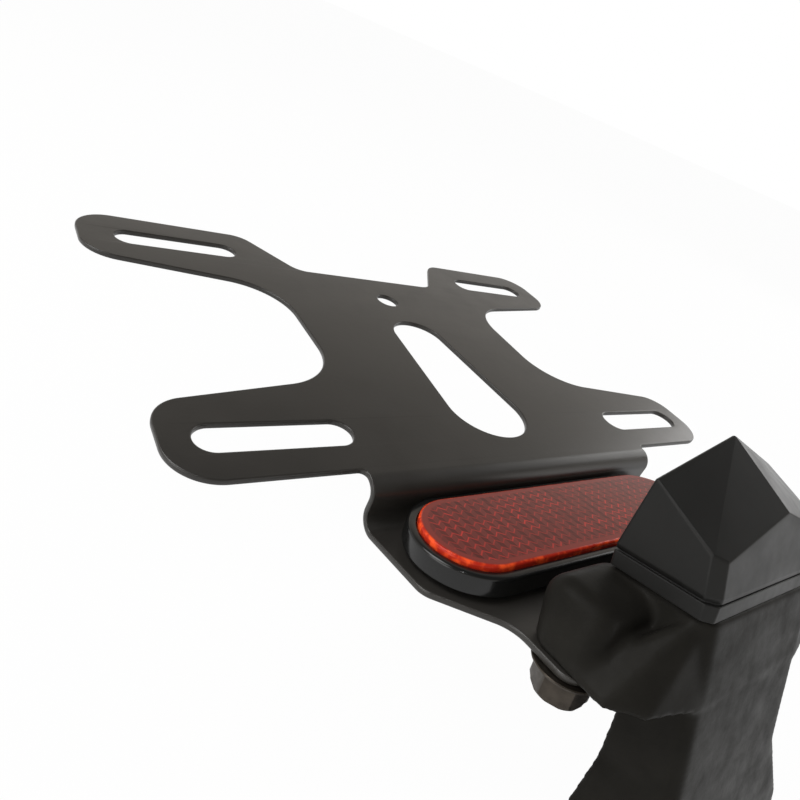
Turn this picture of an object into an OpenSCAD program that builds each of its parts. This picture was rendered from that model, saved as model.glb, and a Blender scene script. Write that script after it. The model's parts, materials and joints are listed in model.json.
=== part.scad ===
// Tail tidy of a motorcycle: a folded sheet bracket for the number plate, a rear reflector,
// a number plate lamp and the moulded arm that carries them under the tail.
// X is across the machine, +Y runs down the number plate, +Z is the plate's outward normal.
// The origin is the centre of the arm's mounting face, where the arm meets the tail.

/* [Number plate bracket] */
// Thickness of the folded sheet
sheet_t = 1.5; // [1.2:0.1:2.5]
// Centre distance of the left and right plate slots
slot_across = 134; // [128:1:140]
// Centre distance of the upper and lower plate slots
slot_up = 93; // [88:1:100]
// Sideways travel of a plate bolt in its slot
slot_travel = 28; // [18:1:32]
// Width of a plate slot
slot_w = 8.7; // [6.5:0.1:9.5]
// How far the arms nearest the fold reach past their slots' middles
near_arm_past = 25; // [24:0.5:30]
// How far the arms farthest from the fold reach past their slots' middles
far_arm_past = 28.3; // [26:0.1:33]
// Depth of the arms nearest the fold, at their tips
near_arm_depth = 25.5; // [23:0.5:28]
// Depth of the arms farthest from the fold, at their tips
far_arm_depth = 28; // [26:0.5:31]
// Slope of the arms' inner edges, in degrees
arm_slope = 11; // [4:1:14]
// Corner radius of the arm tips
arm_r = 11; // [6:0.5:11.5]
// Half width of the waist between the arms
waist_half = 41.3; // [36:0.1:45]
// Corner radius where the arms leave the waist
waist_r = 19; // [8:1:20]
// How far the body's edge lies back from the ends of the far arms
end_notch = 22.2; // [16:0.1:26]
// Radius of the centre window at its wide end
window_r_near = 12.9; // [10:0.1:15]
// Radius of the centre window at its narrow end
window_r_far = 9.3; // [6:0.1:11]
// Diameter of the hole past the window
hole_d = 7.5; // [5:0.1:10]
// Distance of that hole from the body's edge
hole_back = 15.5; // [10:0.5:18]
// Distance of that hole from the window's narrow end, centre to centre
hole_off = 24; // [20:0.5:28]

/* [Fold and flange] */
// Inside radius of both folds
fold_r = 3; // [2:0.1:3.5]
// Depth of the step from the plate face to the flange
step_drop = 10.7; // [9.5:0.1:14]
// Tilt of the flange from the plate face, in degrees
flange_tilt = 12; // [8:0.5:14]
// Half width of the sheet at the folds
neck_half = 51.3; // [50.8:0.1:54]
// Half width of the flange beside the reflector
flange_half = 50.3; // [49.7:0.1:52]
// Half width of the flange under the arm
tail_half = 37.9; // [37.2:0.1:40]

/* [Reflector] */
// Length of the reflector cup
cup_l = 97.9; // [94:0.1:98.5]
// Width of the reflector cup
cup_w = 28.9; // [26:0.1:29.5]
// Height of the cup's rim above the flange
cup_h = 6.1; // [5:0.1:8]
// Width of the cup's rim around the lens
rim_w = 2.3; // [1.6:0.1:3]
// How far the lens stands above the rim
lens_proud = 1.2; // [0.6:0.1:2]
// Distance from the upright wall of the step to the reflector's middle
cup_back = 15.7; // [15.5:0.1:17]
// Diameter of the reflector's stud
stud_d = 5; // [4:0.5:6]

/* [Lamp] */
// Width of the lamp
lamp_w = 43.6; // [40:0.1:46]
// Depth of the lamp at its seam
lamp_d = 21.2; // [19:0.1:22]
// Tilt of the lamp's seam from the plate face, in degrees
seam_tilt = 18.4; // [16:0.2:20]
// Height of the lamp's base
base_h = 3.2; // [2.6:0.1:4]
// Thickness of the seal between base and hood
seal_t = 0.5; // [0.3:0.1:1]
// Height of the eaves at the upper end, from the seam
eave_near = 11.9; // [10:0.1:13]
// Height of the eaves at the window end, from the seam
eave_far = 19.3; // [17:0.1:21]
// Height of the ridge at the upper end, from the seam
ridge_near = 17.6; // [15:0.1:19]
// Height of the ridge at the window end, from the seam
ridge_far = 27; // [23:0.1:28]
// Wall of the lamp's hood
hood_wall = 2; // [1.6:0.1:2.4]
// Width of the lamp's window
pane_w = 25; // [20:1:26]
// Height of the lamp's window
pane_h = 9; // [7:0.5:10]

/* [Arm] */
// Tilt of the arm's top face from the plate's normal, in degrees
arm_tilt = 25.5; // [22:0.5:28]
// Length of the arm from the lamp to its end
arm_l = 95; // [92:1:110]
// Half width of the arm at its end
root_half = 30; // [28:0.5:36]
// Depth of the arm at its end
root_depth = 26; // [24:0.5:32]
// Wall of the arm
arm_wall = 2.5; // [2:0.1:3]
// How far the arm's skirt lies inside the flange's edges
skirt_in = 0.6; // [0.4:0.1:2.4]
// How far the lamp's base overhangs the arm on each side
lamp_lip = 1; // [0.4:0.1:1.6]

/* [Fasteners] */
// Thread of the bolts that hold the flange and the tail
bolt_d = 6; // [5:1:6]
// Half distance between the flange bolts
flange_bolt_x = 32.3; // [31:0.1:32.5]
// Centre distance of the tail bolts across the arm
tail_across = 40; // [36:1:42]
// Centre distance of the tail bolts along the arm
tail_along = 26; // [20:1:28]
// Thread of the small screws
screw_d = 3; // [2.5:0.5:3.5]

/* [Hidden] */
$fn = 48;
eps = 0.01;
big = 400;

// Places in the plate's frame: y down the plate, z along its normal, from the window's wide end
near_edge_y = -20.4;
near_slot_y = -8;
far_slot_y = near_slot_y + slot_up;
far_edge_y = far_slot_y + 14.6;
body_edge_y = far_edge_y - end_notch;
hole_y = body_edge_y - hole_back;
window_l = hole_y - hole_off;
near_arm_half = slot_across / 2 + near_arm_past;
far_arm_half = slot_across / 2 + far_arm_past;
notch_mouth_half = far_arm_half - 53;
notch_floor_half = notch_mouth_half - 13.7;
fold_y = near_edge_y - 1.6;
wall_y = fold_y - fold_r - sheet_t;
fold2_y = wall_y - fold_r;
fold2_z = -step_drop + fold_r * (1 + sin(flange_tilt)) / cos(flange_tilt);
flange_y = fold2_y - fold_r * sin(flange_tilt);
flange_z = fold2_z - fold_r * cos(flange_tilt);
seam_y = -71.415;
seam_z = 14.205;
arm_y = seam_y - lamp_d / 2 * cos(seam_tilt);
arm_z = seam_z + lamp_d / 2 * sin(seam_tilt);

// Distances along the flange, from the end of its fold
cup_s = (wall_y - cup_back - flange_y) / cos(flange_tilt);
bolt_s = cup_s - 29.3;
flange_s = bolt_s - 5.3;

// Clearances
hole_gap = 0.3;
seat_gap = 0.15;

// Each arc of an outline is larger by this, so that it crosses its straight sides cleanly
arc_lap = 0.001;

// Depth of the arm behind the flange, so that it clears the sheet's end
end_y = flange_y + flange_s * cos(flange_tilt) - sheet_t * sin(flange_tilt);
end_z = flange_z - flange_s * sin(flange_tilt) - sheet_t * cos(flange_tilt);
arm_depth = (end_y - arm_y) * cos(arm_tilt) - (end_z - arm_z) * sin(arm_tilt) - 0.4;

// Where the arm's top face reaches the flange's plane, along the arm and along the flange
top_face_l = (arm_z - flange_z + tan(flange_tilt) * (arm_y - flange_y))
    / (cos(arm_tilt) + tan(flange_tilt) * sin(arm_tilt));
top_face_s = (arm_y - top_face_l * sin(arm_tilt) - flange_y) / cos(flange_tilt);
skirt_half = tail_half - skirt_in;
skirt_far = bolt_s - 3;
skirt_near = bolt_s - 10;
neck_far = bolt_s + 4.5;
arm_half = lamp_w / 2 - lamp_lip;
arm_edge_cut = 1.6;

// The middle of the tail bolts on the arm's top face, which is the origin
tail_s = -arm_l + 23;
tail_y = arm_y + tail_s * sin(arm_tilt);
tail_z = arm_z + tail_s * cos(arm_tilt);

// Fastener sizes
stud_head_r = 5.5;
stud_head_h = 1.4;
washer_t = 1;
washer_r = 5.5;
nut_af = 8;
nut_h = 5;
bolt_flange_r = bolt_d * 1.18;
bolt_flange_h = 1.5;
bolt_af = 10;
bolt_head_h = 5.2;
insert_l = 7;
insert_r = bolt_d / 2 + 1.1;
bush_r = bolt_d / 2 + 1.5;
bush_bore_r = bolt_d / 2 + 0.25;
spreader_t = 2;
spreader_rim = 5.5;
spreader_land = 10;
cover_t = 2;
cover_screw_l = 8;
access_r = 7;
screw_head_r = screw_d * 0.9;
screw_head_h = screw_d * 0.6;
cup_floor = 2.6;
foot_h = 1.4;
foot_in = 2.6;
lens_top = 2.4;
lens_side = 2;
grommet_r = 5;
wire_r = 2.6;
grommet_z = -root_depth / 2;
cover_screw_places = [[0, -arm_l + 37.5], [14, -9], [-14, -9]];

function unit(a) = a / norm(a);
function turn(a, b) = a.x * b.y - a.y * b.x;

// One corner of a shape: its two tangent points, its arc's centre and which way it turns
function arc_at(p, q, s) =
    let (a = unit([p.x - q.x, p.y - q.y]), b = unit([s.x - q.x, s.y - q.y]), c = [q.x, q.y])
    let (half = acos(a * b) / 2)
    [c + a * q[2] / tan(half), c + b * q[2] / tan(half), c + unit(a + b) * q[2] / sin(half),
        sign(turn(-a, b))];

// Shape through points [x, y, radius] taken anticlockwise, its corners true arcs
module round_shape(p) {
    n = len(p);
    arcs = [for (i = [0:n - 1]) arc_at(p[(i + n - 1) % n], p[i], p[(i + 1) % n])];
    difference() {
        union() {
            polygon([for (i = [0:n - 1]) each p[i][2] > 0 ? [arcs[i][0], arcs[i][1]] : [arcs[i][0]]]);
            for (i = [0:n - 1]) if (p[i][2] > 0 && arcs[i][3] > 0) translate(arcs[i][2])
                circle(p[i][2] + arc_lap);
        }
        for (i = [0:n - 1]) if (p[i][2] > 0 && arcs[i][3] < 0) translate(arcs[i][2])
            circle(p[i][2] + arc_lap);
    }
}

// The right half of an outline, closed by its mirror image
function both_sides(p) = concat(p, [for (i = [len(p) - 1:-1:0]) [-p[i].x, p[i].y, p[i][2]]]);

// Frames
module in_plate() translate([0, -tail_y, -tail_z]) children();
module in_flange() in_plate() translate([0, flange_y, flange_z]) rotate([-flange_tilt, 0, 0]) children();
module in_lamp() in_plate() translate([0, seam_y, seam_z]) rotate([-seam_tilt, 0, 0]) children();
module in_arm() in_plate() translate([0, arm_y, arm_z]) rotate([90 - arm_tilt, 0, 0]) children();

// Small shapes
module along_x(w) rotate([90, 0, 90]) linear_extrude(w, center = true) children();
module mirrored() { children(); mirror([1, 0, 0]) children(); }
module obround(l, w) {
    square([l - w, w], center = true);
    for (x = [-1, 1]) translate([x * (l - w) / 2, 0]) circle(d = w);
}
module hexagon(af) circle(d = af / cos(30), $fn = 6);
module sector(inner, outer, from, to) {
    mid = (from + to) / 2;
    far = 3 * outer;
    intersection() {
        difference() {
            circle(outer);
            circle(inner);
        }
        polygon([[0, 0], far * [cos(from), sin(from)], far * [cos(mid), sin(mid)],
            far * [cos(to), sin(to)]]);
    }
}
module tapered_window() {
    lean = asin((window_r_near - window_r_far) / window_l);
    circle(window_r_near + arc_lap);
    translate([0, window_l]) circle(window_r_far + arc_lap);
    polygon([window_r_near * [cos(lean), sin(lean)],
             [0, window_l] + window_r_far * [cos(lean), sin(lean)],
             [0, window_l] + window_r_far * [-cos(lean), sin(lean)],
             window_r_near * [-cos(lean), sin(lean)]]);
}

// Number plate bracket
module plate_outline() {
    rise = tan(arm_slope);
    near_top = near_edge_y + near_arm_depth;
    far_low = far_edge_y - far_arm_depth;
    round_shape(both_sides([
        [neck_half, fold_y - 10, 0],
        [neck_half, near_edge_y, 1.6],
        [near_arm_half, near_edge_y, arm_r],
        [near_arm_half, near_top - 1, arm_r * 0.8],
        [waist_half, near_top - 1 + (near_arm_half - waist_half) * rise, waist_r],
        [waist_half, far_low - (far_arm_half - waist_half) * rise * 0.87, waist_r],
        [far_arm_half, far_low + 1, arm_r],
        [far_arm_half, far_edge_y, arm_r],
        [notch_mouth_half, far_edge_y, 8],
        [notch_floor_half, body_edge_y, 7]]));
}
module plate_bracket() color("#3a3a3a") {
    in_plate() difference() {
        intersection() {
            union() {
                translate([-big / 2, fold_y, -sheet_t]) cube([big, big, sheet_t]);
                along_x(big) translate([fold_y, -sheet_t - fold_r])
                    sector(fold_r, fold_r + sheet_t, 90, 180);
                translate([-big / 2, wall_y, fold2_z])
                    cube([big, sheet_t, -sheet_t - fold_r - fold2_z]);
                along_x(big) translate([fold2_y, fold2_z])
                    sector(fold_r, fold_r + sheet_t, -90 - flange_tilt, 0);
            }
            translate([0, 0, -50]) linear_extrude(60) plate_outline();
        }
        for (x = [-1, 1], y = [near_slot_y, far_slot_y])
            translate([x * slot_across / 2, y, -5]) linear_extrude(10)
                obround(slot_travel + slot_w, slot_w);
        translate([0, 0, -5]) linear_extrude(10) tapered_window();
        translate([0, hole_y, -5]) cylinder(d = hole_d, h = 10);
    }
    in_flange() difference() {
        translate([0, 0, -sheet_t]) linear_extrude(sheet_t) round_shape(both_sides([
            [tail_half, flange_s, 4],
            [tail_half, cup_s - 19.8, 9],
            [flange_half, cup_s - 6.2, 6],
            [neck_half, 0, 0]]));
        translate([0, cup_s, -5]) cylinder(r = stud_d / 2 + hole_gap, h = 10);
        for (x = [-1, 1])
            translate([x * flange_bolt_x, bolt_s, -5]) cylinder(r = bolt_d / 2 + hole_gap, h = 10);
    }
}

// Reflector
module reflector_cup() color("#1c1c1c") in_flange() translate([0, cup_s, 0]) difference() {
    union() {
        linear_extrude(foot_h) obround(cup_l - 2 * foot_in, cup_w - 2 * foot_in);
        translate([0, 0, foot_h]) linear_extrude(cup_h - foot_h) obround(cup_l, cup_w);
    }
    translate([0, 0, cup_floor]) linear_extrude(cup_h) obround(cup_l - 2 * rim_w, cup_w - 2 * rim_w);
    translate([0, 0, -1]) cylinder(d = stud_d, h = 10);
}
module reflector_lens() color("#c8281e") in_flange() translate([0, cup_s, cup_floor]) {
    lens_l = cup_l - 2 * rim_w - 2 * seat_gap;
    lens_w = cup_w - 2 * rim_w - 2 * seat_gap;
    lens_h = cup_h - cup_floor + lens_proud;
    difference() {
        linear_extrude(lens_h) obround(lens_l, lens_w);
        translate([0, 0, -1]) linear_extrude(lens_h - lens_top + 1)
            obround(lens_l - 2 * lens_side, lens_w - 2 * lens_side);
    }
}
module reflector_stud() color("#9a9a98") in_flange() translate([0, cup_s, 0]) {
    translate([0, 0, cup_floor]) cylinder(r = stud_head_r, h = stud_head_h);
    translate([0, 0, -sheet_t - washer_t - nut_h - 2])
        cylinder(d = stud_d, h = sheet_t + washer_t + nut_h + 2 + cup_floor + eps);
}
module reflector_washer() color("#9a9a98") in_flange() translate([0, cup_s, -sheet_t - washer_t])
    difference() {
    cylinder(r = washer_r, h = washer_t);
    translate([0, 0, -1]) cylinder(r = stud_d / 2 + seat_gap, h = washer_t + 2);
}
module reflector_nut() color("#9a9a98") in_flange() translate([0, cup_s, -sheet_t - washer_t - nut_h])
    difference() {
    linear_extrude(nut_h) hexagon(nut_af);
    translate([0, 0, -1]) cylinder(r = stud_d / 2 + 0.02, h = nut_h + 2);
}

// Lamp
near_lean = tan(90 - seam_tilt - (90 - arm_tilt));
far_lean = 0.225;
lamp_corner_cut = 1.7;
lamp_edge_r = 0.7;
hood_z = base_h + seal_t;
pane_z = 10.5;
post_x = 15;
post_y = -3.9;
board_front = 5;
board_t = 1.2;
board_x = 15.2;
function near_y(z) = -lamp_d / 2 + near_lean * z;
function far_y(z) = lamp_d / 2 - far_lean * z;
module lamp_plan(inset) {
    half = lamp_w / 2 - inset;
    near = near_y(base_h) + inset;
    round_shape(both_sides([
        [half - lamp_corner_cut, near, lamp_edge_r],
        [half, near + lamp_corner_cut, lamp_edge_r],
        [half, far_y(base_h) - inset, lamp_edge_r]]));
}
module hood_corner(x, y, z) translate([x, y, z]) sphere(lamp_edge_r, $fn = 16);
module hood_foot(x, y, inset) translate([x, y, hood_z - (inset > 0 ? 1 : 0)])
    cylinder(r = lamp_edge_r, h = 1, $fn = 16);

// The gabled hood, its two near corners cut off, or the room inside it
module hood_form(inset) {
    pad = inset + lamp_edge_r;
    half = lamp_w / 2 - pad;
    cut = lamp_corner_cut;
    eave_z = eave_near - 0.75 * pad;
    roof_across = (ridge_near - eave_near) / (lamp_w / 2);
    roof_along = (eave_far - eave_near) / (far_y(eave_far) - near_y(eave_near));
    hull() mirrored() {
        hood_foot(half - cut, near_y(hood_z) + pad, inset);
        hood_foot(half, near_y(hood_z) + pad + cut, inset);
        hood_foot(half, far_y(hood_z) - pad, inset);
        hood_corner(half - cut, near_y(eave_near) + pad, eave_z + cut * roof_across);
        hood_corner(half, near_y(eave_near) + pad + cut, eave_z + cut * roof_along);
        hood_corner(half, far_y(eave_far) - pad, eave_far - 0.75 * pad);
        hood_corner(0, near_y(ridge_near) + pad, ridge_near - pad);
        hood_corner(0, far_y(ridge_far) - pad, ridge_far - pad);
    }
}
module at_pane() translate([0, far_y(pane_z), pane_z]) rotate([atan(far_lean), 0, 0])
    rotate([-90, 0, 0]) children();
module lamp_base() color("#4a4a48") in_lamp() difference() {
    linear_extrude(base_h) lamp_plan(0);
    for (x = [-1, 1]) translate([x * post_x, post_y, -1])
        cylinder(d = screw_d + 2 * hole_gap, h = base_h + 2);
    translate([0, 0, -1]) cylinder(r = 4, h = base_h + 2);
}
module lamp_seal() color("#101010") in_lamp() translate([0, 0, base_h]) linear_extrude(seal_t)
    difference() {
    lamp_plan(0.6);
    lamp_plan(hood_wall);
}
module lamp_hood() color("#403f3e") in_lamp() {
    difference() {
        hood_form(0);
        hood_form(hood_wall);
        at_pane() translate([0, 0, -6]) linear_extrude(20) square([pane_w, pane_h], center = true);
        translate([-big / 2, -big / 2, hood_z - 20]) cube([big, big, 20]);
    }
    difference() {
        intersection() {
            hood_form(hood_wall / 2);
            for (x = [-1, 1]) translate([x * post_x, post_y, hood_z])
                cylinder(r = screw_d / 2 + 1.6, h = ridge_far);
        }
        for (x = [-1, 1]) translate([x * post_x, post_y, hood_z - 1]) cylinder(d = screw_d - 0.1, h = 9);
    }
    at_pane() for (x = [-1, 1]) translate([x * board_x, 0, -board_front]) difference() {
        cylinder(r = 2.2, h = board_front - hood_wall / 2);
        translate([0, 0, -1]) cylinder(r = 0.95, h = 4);
    }
}
module lamp_pane() color("#d8e0e0") in_lamp() at_pane() {
    translate([0, 0, -hood_wall]) linear_extrude(hood_wall)
        square([pane_w - 2 * seat_gap, pane_h - 2 * seat_gap], center = true);
}
module at_board() in_lamp() at_pane() translate([0, 0, -board_front - board_t]) children();
module led_board() color("#e8e8e4") at_board() difference() {
    linear_extrude(board_t) square([2 * board_x + 4.4, pane_h], center = true);
    for (x = [-1, 1]) translate([x * board_x, 0, -1]) cylinder(r = 1.1, h = 4);
}
module led_chips() color("#f4e6a0") at_board() for (x = [-1, 0, 1]) translate([x * 6, 0, board_t]) {
    linear_extrude(0.8) square([3, 3], center = true);
    translate([0, 0, 0.8]) cylinder(r1 = 1.3, r2 = 0.8, h = 0.6);
}
module board_screws() color("#8c8c88") at_board() for (x = [-1, 1]) translate([x * board_x, 0, 0]) {
    translate([0, 0, -1.1]) cylinder(r = 1.8, h = 1.1);
    translate([0, 0, -eps]) cylinder(r = 0.95, h = board_t + 2.5);
}
module lamp_screws() color("#8c8c88") in_lamp() for (x = [-1, 1]) translate([x * post_x, post_y, 0]) {
    translate([0, 0, -arm_wall - screw_head_h]) cylinder(r = screw_head_r, h = screw_head_h);
    translate([0, 0, -arm_wall - eps]) cylinder(d = screw_d - 0.1, h = arm_wall + hood_z + 7);
}

// Arm
under_y = -16;
under_rise = (root_depth - arm_depth) / (arm_l + under_y);
function under_z(y) = -arm_depth + (y - under_y) * under_rise;
bush_l = -under_z(tail_s + tail_along / 2 + spreader_rim) - cover_t - spreader_t - 0.9;
cover_start = under_y - arm_wall;
module in_cover() in_arm() translate([0, under_y, under_z(under_y)]) rotate([atan(under_rise), 0, 0])
    children();
flare_end = -arm_l + 42;
flare_start = -arm_l + 59;
module arm_plan(inset) round_shape(both_sides([
    [root_half - inset, -arm_l + inset, 6 - inset / 2],
    [root_half - inset, flare_end, 12],
    [arm_half - inset, flare_start, 0],
    [arm_half - inset, 0, 0]]));
module arm_length(half, from, to) translate([0, from, 0]) rotate([90, 0, 0]) linear_extrude(from - to)
    polygon([[-half, -big], [half, -big], [half, -arm_edge_cut], [half - arm_edge_cut, 0],
             [arm_edge_cut - half, 0], [-half, -arm_edge_cut]]);
module arm_form() intersection() {
    along_x(big) polygon([
        [0, 0], [0, -arm_depth], [under_y, -arm_depth], [-arm_l, -root_depth], [-arm_l, 0]]);
    linear_extrude(big, center = true) arm_plan(0);
    union() {
        arm_length(arm_half, 1, flare_start);
        hull() {
            arm_length(arm_half, flare_start + eps, flare_start);
            arm_length(root_half, flare_end, flare_end - eps);
        }
        arm_length(root_half, flare_end, -arm_l - 1);
    }
}
module arm_hollow() intersection() {
    along_x(big) polygon([
        [-10, -arm_wall], [-10, arm_wall - arm_depth], [cover_start, arm_wall - arm_depth],
        [cover_start, -60], [-arm_l, -60], [-arm_l, -arm_wall]]);
    translate([0, 0, -70]) linear_extrude(90) arm_plan(arm_wall);
}
module skirt_point(x, y, z) translate([x, y, z]) sphere(0.6, $fn = 12);
module skirt() hull() {
    in_arm() mirrored() {
        skirt_point(arm_half - 0.8, -2, -arm_edge_cut - 0.6);
        skirt_point(arm_half - 0.8, -0.6, -3);
    }
    in_flange() mirrored() {
        for (y = [skirt_far, skirt_near]) translate([skirt_half - 1.2, y, 0])
            cylinder(r = 1.2, h = 1.2, $fn = 20);
        translate([skirt_half - 7, skirt_near - 4.5, 0]) cylinder(r = 1.2, h = 1.2, $fn = 20);
        translate([arm_half - 0.8, top_face_s + 0.7, 0]) cylinder(r = 0.6, h = 1, $fn = 12);
    }
}
neck_half_w = arm_half - 0.3;
module neck_plan(near, far, inset) round_shape(both_sides([
    [neck_half_w - arm_edge_cut - inset, near + inset, 0],
    [neck_half_w - inset, near + arm_edge_cut + inset, 0],
    [neck_half_w - inset, far - 1 - inset, 0],
    [neck_half_w - 1 - inset, far - inset, 0]]));
module neck_form(inset) hull() {
    in_lamp() translate([0, 0, -arm_wall - (inset > 0 ? 1 : 0)])
        linear_extrude(inset > 0 ? 1 : arm_wall) neck_plan(near_y(0), far_y(0) - 0.9, inset);
    in_flange() translate([0, 0, -(inset > 0 ? 1 : 0)]) linear_extrude(1)
        neck_plan(top_face_s, neck_far, inset);
}
boss_top = 13;
boss_r = 4.4;
boss_inner_x = 20;
module boss() in_flange() hull() {
    for (x = [skirt_half - 1.5 - boss_r, boss_inner_x], y = [bolt_s - 1, bolt_s + 5.4])
        translate([x, y, boss_top - boss_r]) sphere(boss_r, $fn = 24);
    for (x = [skirt_half - boss_r, boss_inner_x], y = [bolt_s - 1.6, bolt_s + 3])
        translate([x, y, 0]) cylinder(r = boss_r, h = 1, $fn = 32);
}
module cover_posts() in_cover() for (p = cover_screw_places) translate([p.x, p.y, cover_t])
    cylinder(r = screw_d / 2 + 2, h = 40);
module tail_arm() color("#4d4b48") difference() {
    union() {
        difference() {
            union() {
                skirt();
                neck_form(0);
                mirrored() boss();
                in_arm() arm_form();
            }
            neck_form(arm_wall);
            in_arm() arm_hollow();
        }
        intersection() {
            in_arm() arm_form();
            union() {
                cover_posts();
                in_arm() tail_places() translate([0, 0, -bush_l]) cylinder(r = bush_r + 2, h = bush_l);
            }
        }
    }
    in_arm() {
        tail_places() translate([0, 0, -bush_l - 1]) cylinder(r = bush_r, h = bush_l + 2);
        translate([0, -arm_l, grommet_z]) rotate([90, 0, 0])
            cylinder(r = grommet_r, h = 4 * arm_wall, center = true);
    }
    in_cover() for (p = cover_screw_places) translate([p.x, p.y, 0])
        cylinder(d = screw_d - 0.4, h = cover_screw_l + 1);
    in_flange() for (x = [-1, 1]) translate([x * flange_bolt_x, bolt_s, -1])
        cylinder(r = insert_r, h = insert_l + 1);
    in_lamp() {
        for (x = [-1, 1]) translate([x * post_x, post_y, -arm_wall - 1])
            cylinder(d = screw_d + 2 * hole_gap, h = arm_wall + 2);
        translate([0, 0, -arm_wall - 1]) cylinder(r = 4, h = arm_wall + 2);
    }
}
module tail_places() for (x = [-1, 1], y = [-1, 1])
    translate([x * tail_across / 2, tail_s + y * tail_along / 2, 0]) children();
module arm_cover() color("#4d4b48") difference() {
    intersection() {
        in_cover() translate([-big / 2, -big, 0]) cube([big, big - arm_wall - seat_gap, cover_t]);
        in_arm() linear_extrude(big, center = true) arm_plan(arm_wall + seat_gap);
    }
    in_cover() for (p = cover_screw_places) translate([p.x, p.y, -1])
        cylinder(d = screw_d + 2 * hole_gap, h = cover_t + 2);
    in_arm() tail_places() translate([0, 0, -big / 2]) cylinder(r = access_r, h = big / 2 - bush_l);
}
module cover_screws() color("#8c8c88") in_cover() for (p = cover_screw_places) translate([p.x, p.y, 0]) {
    translate([0, 0, -screw_head_h]) cylinder(r = screw_head_r, h = screw_head_h);
    translate([0, 0, -eps]) cylinder(d = screw_d - 0.5, h = cover_screw_l);
}
module flange_bolts() color("#5a5148") in_flange() for (x = [-1, 1])
    translate([x * flange_bolt_x, bolt_s, -sheet_t]) {
        translate([0, 0, -bolt_flange_h]) cylinder(r = bolt_flange_r, h = bolt_flange_h);
        translate([0, 0, -bolt_flange_h - bolt_head_h]) linear_extrude(bolt_head_h + eps) hexagon(bolt_af);
        translate([0, 0, -eps]) cylinder(d = bolt_d - 0.1, h = sheet_t + insert_l - 1);
    }
module flange_inserts() color("#b59a50") in_flange() for (x = [-1, 1])
    translate([x * flange_bolt_x, bolt_s, 0]) difference() {
        cylinder(r = insert_r, h = insert_l);
        translate([0, 0, -1]) cylinder(d = bolt_d, h = insert_l + 2);
    }
module tail_bushes() color("#a0a09c") in_arm() tail_places() translate([0, 0, -bush_l]) difference() {
    cylinder(r = bush_r, h = bush_l);
    translate([0, 0, -1]) cylinder(r = bush_bore_r, h = bush_l + 2);
}
module spreader_plate() color("#8c8c88") in_arm() translate([0, tail_s, -bush_l - spreader_t])
    difference() {
    linear_extrude(spreader_t) round_shape(both_sides([
        [tail_across / 2 + spreader_rim, -tail_along / 2 - spreader_rim, 5],
        [tail_across / 2 + spreader_rim, tail_along / 2 + spreader_rim, 5]]));
    for (x = [-1, 1], y = [-1, 1]) translate([x * tail_across / 2, y * tail_along / 2, -1])
        cylinder(r = bush_bore_r, h = spreader_t + 2);
    translate([0, 0, -1]) linear_extrude(spreader_t + 2)
        obround(tail_across - 2 * spreader_land, tail_along - 1.4 * spreader_land);
}
module wire_grommet() color("#101010") in_arm() translate([0, -arm_l, grommet_z]) rotate([-90, 0, 0])
    difference() {
    union() {
        translate([0, 0, -1.4]) cylinder(r = grommet_r + 1.6, h = 1.4);
        cylinder(r = grommet_r, h = arm_wall);
        translate([0, 0, arm_wall]) cylinder(r = grommet_r + 1.6, h = 1.4);
    }
    translate([0, 0, -3]) cylinder(r = wire_r, h = arm_wall + 6);
}

plate_bracket();
reflector_cup();
reflector_lens();
reflector_stud();
reflector_washer();
reflector_nut();
lamp_base();
lamp_seal();
lamp_hood();
lamp_pane();
led_board();
led_chips();
board_screws();
lamp_screws();
tail_arm();
arm_cover();
cover_screws();
flange_bolts();
flange_inserts();
tail_bushes();
spreader_plate();
wire_grommet();
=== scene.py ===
"""Looks of a motorcycle tail tidy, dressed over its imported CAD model.

A folded number plate bracket carries a reflector and stands on a moulded arm with a plate lamp.
Lengths in the classes are in millimetres and in the frames of the part's source; meshes are in metres.
"""

import json
import logging
import math
from dataclasses import dataclass
from enum import Enum
from itertools import product
from typing import Callable, Iterable, Sequence

import bmesh
import bpy
from mathutils import Matrix, Vector

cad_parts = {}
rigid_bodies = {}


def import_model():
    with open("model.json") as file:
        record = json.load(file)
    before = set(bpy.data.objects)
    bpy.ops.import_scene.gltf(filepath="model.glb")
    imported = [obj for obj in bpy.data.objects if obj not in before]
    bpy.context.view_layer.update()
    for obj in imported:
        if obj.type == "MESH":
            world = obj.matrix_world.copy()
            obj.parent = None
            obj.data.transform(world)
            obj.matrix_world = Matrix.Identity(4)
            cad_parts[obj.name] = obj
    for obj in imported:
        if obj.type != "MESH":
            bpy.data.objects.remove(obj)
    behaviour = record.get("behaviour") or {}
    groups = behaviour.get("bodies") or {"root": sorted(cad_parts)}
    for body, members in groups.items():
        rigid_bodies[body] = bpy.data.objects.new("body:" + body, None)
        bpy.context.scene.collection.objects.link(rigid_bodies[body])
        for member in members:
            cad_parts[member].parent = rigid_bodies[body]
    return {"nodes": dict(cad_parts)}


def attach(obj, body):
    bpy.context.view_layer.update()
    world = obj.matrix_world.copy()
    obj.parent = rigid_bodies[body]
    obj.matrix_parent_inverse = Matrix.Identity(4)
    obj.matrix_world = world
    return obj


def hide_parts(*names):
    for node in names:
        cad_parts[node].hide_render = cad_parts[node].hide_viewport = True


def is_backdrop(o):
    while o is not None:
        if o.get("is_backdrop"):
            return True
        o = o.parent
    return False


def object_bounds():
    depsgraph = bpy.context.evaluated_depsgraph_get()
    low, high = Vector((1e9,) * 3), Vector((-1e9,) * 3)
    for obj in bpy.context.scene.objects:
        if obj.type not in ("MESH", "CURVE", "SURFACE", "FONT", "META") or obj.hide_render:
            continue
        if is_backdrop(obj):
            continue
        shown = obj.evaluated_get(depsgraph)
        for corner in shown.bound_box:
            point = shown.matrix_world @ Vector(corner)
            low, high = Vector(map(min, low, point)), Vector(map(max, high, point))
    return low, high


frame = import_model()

LOG = logging.getLogger("tail_tidy")
MM = 0.001
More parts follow.
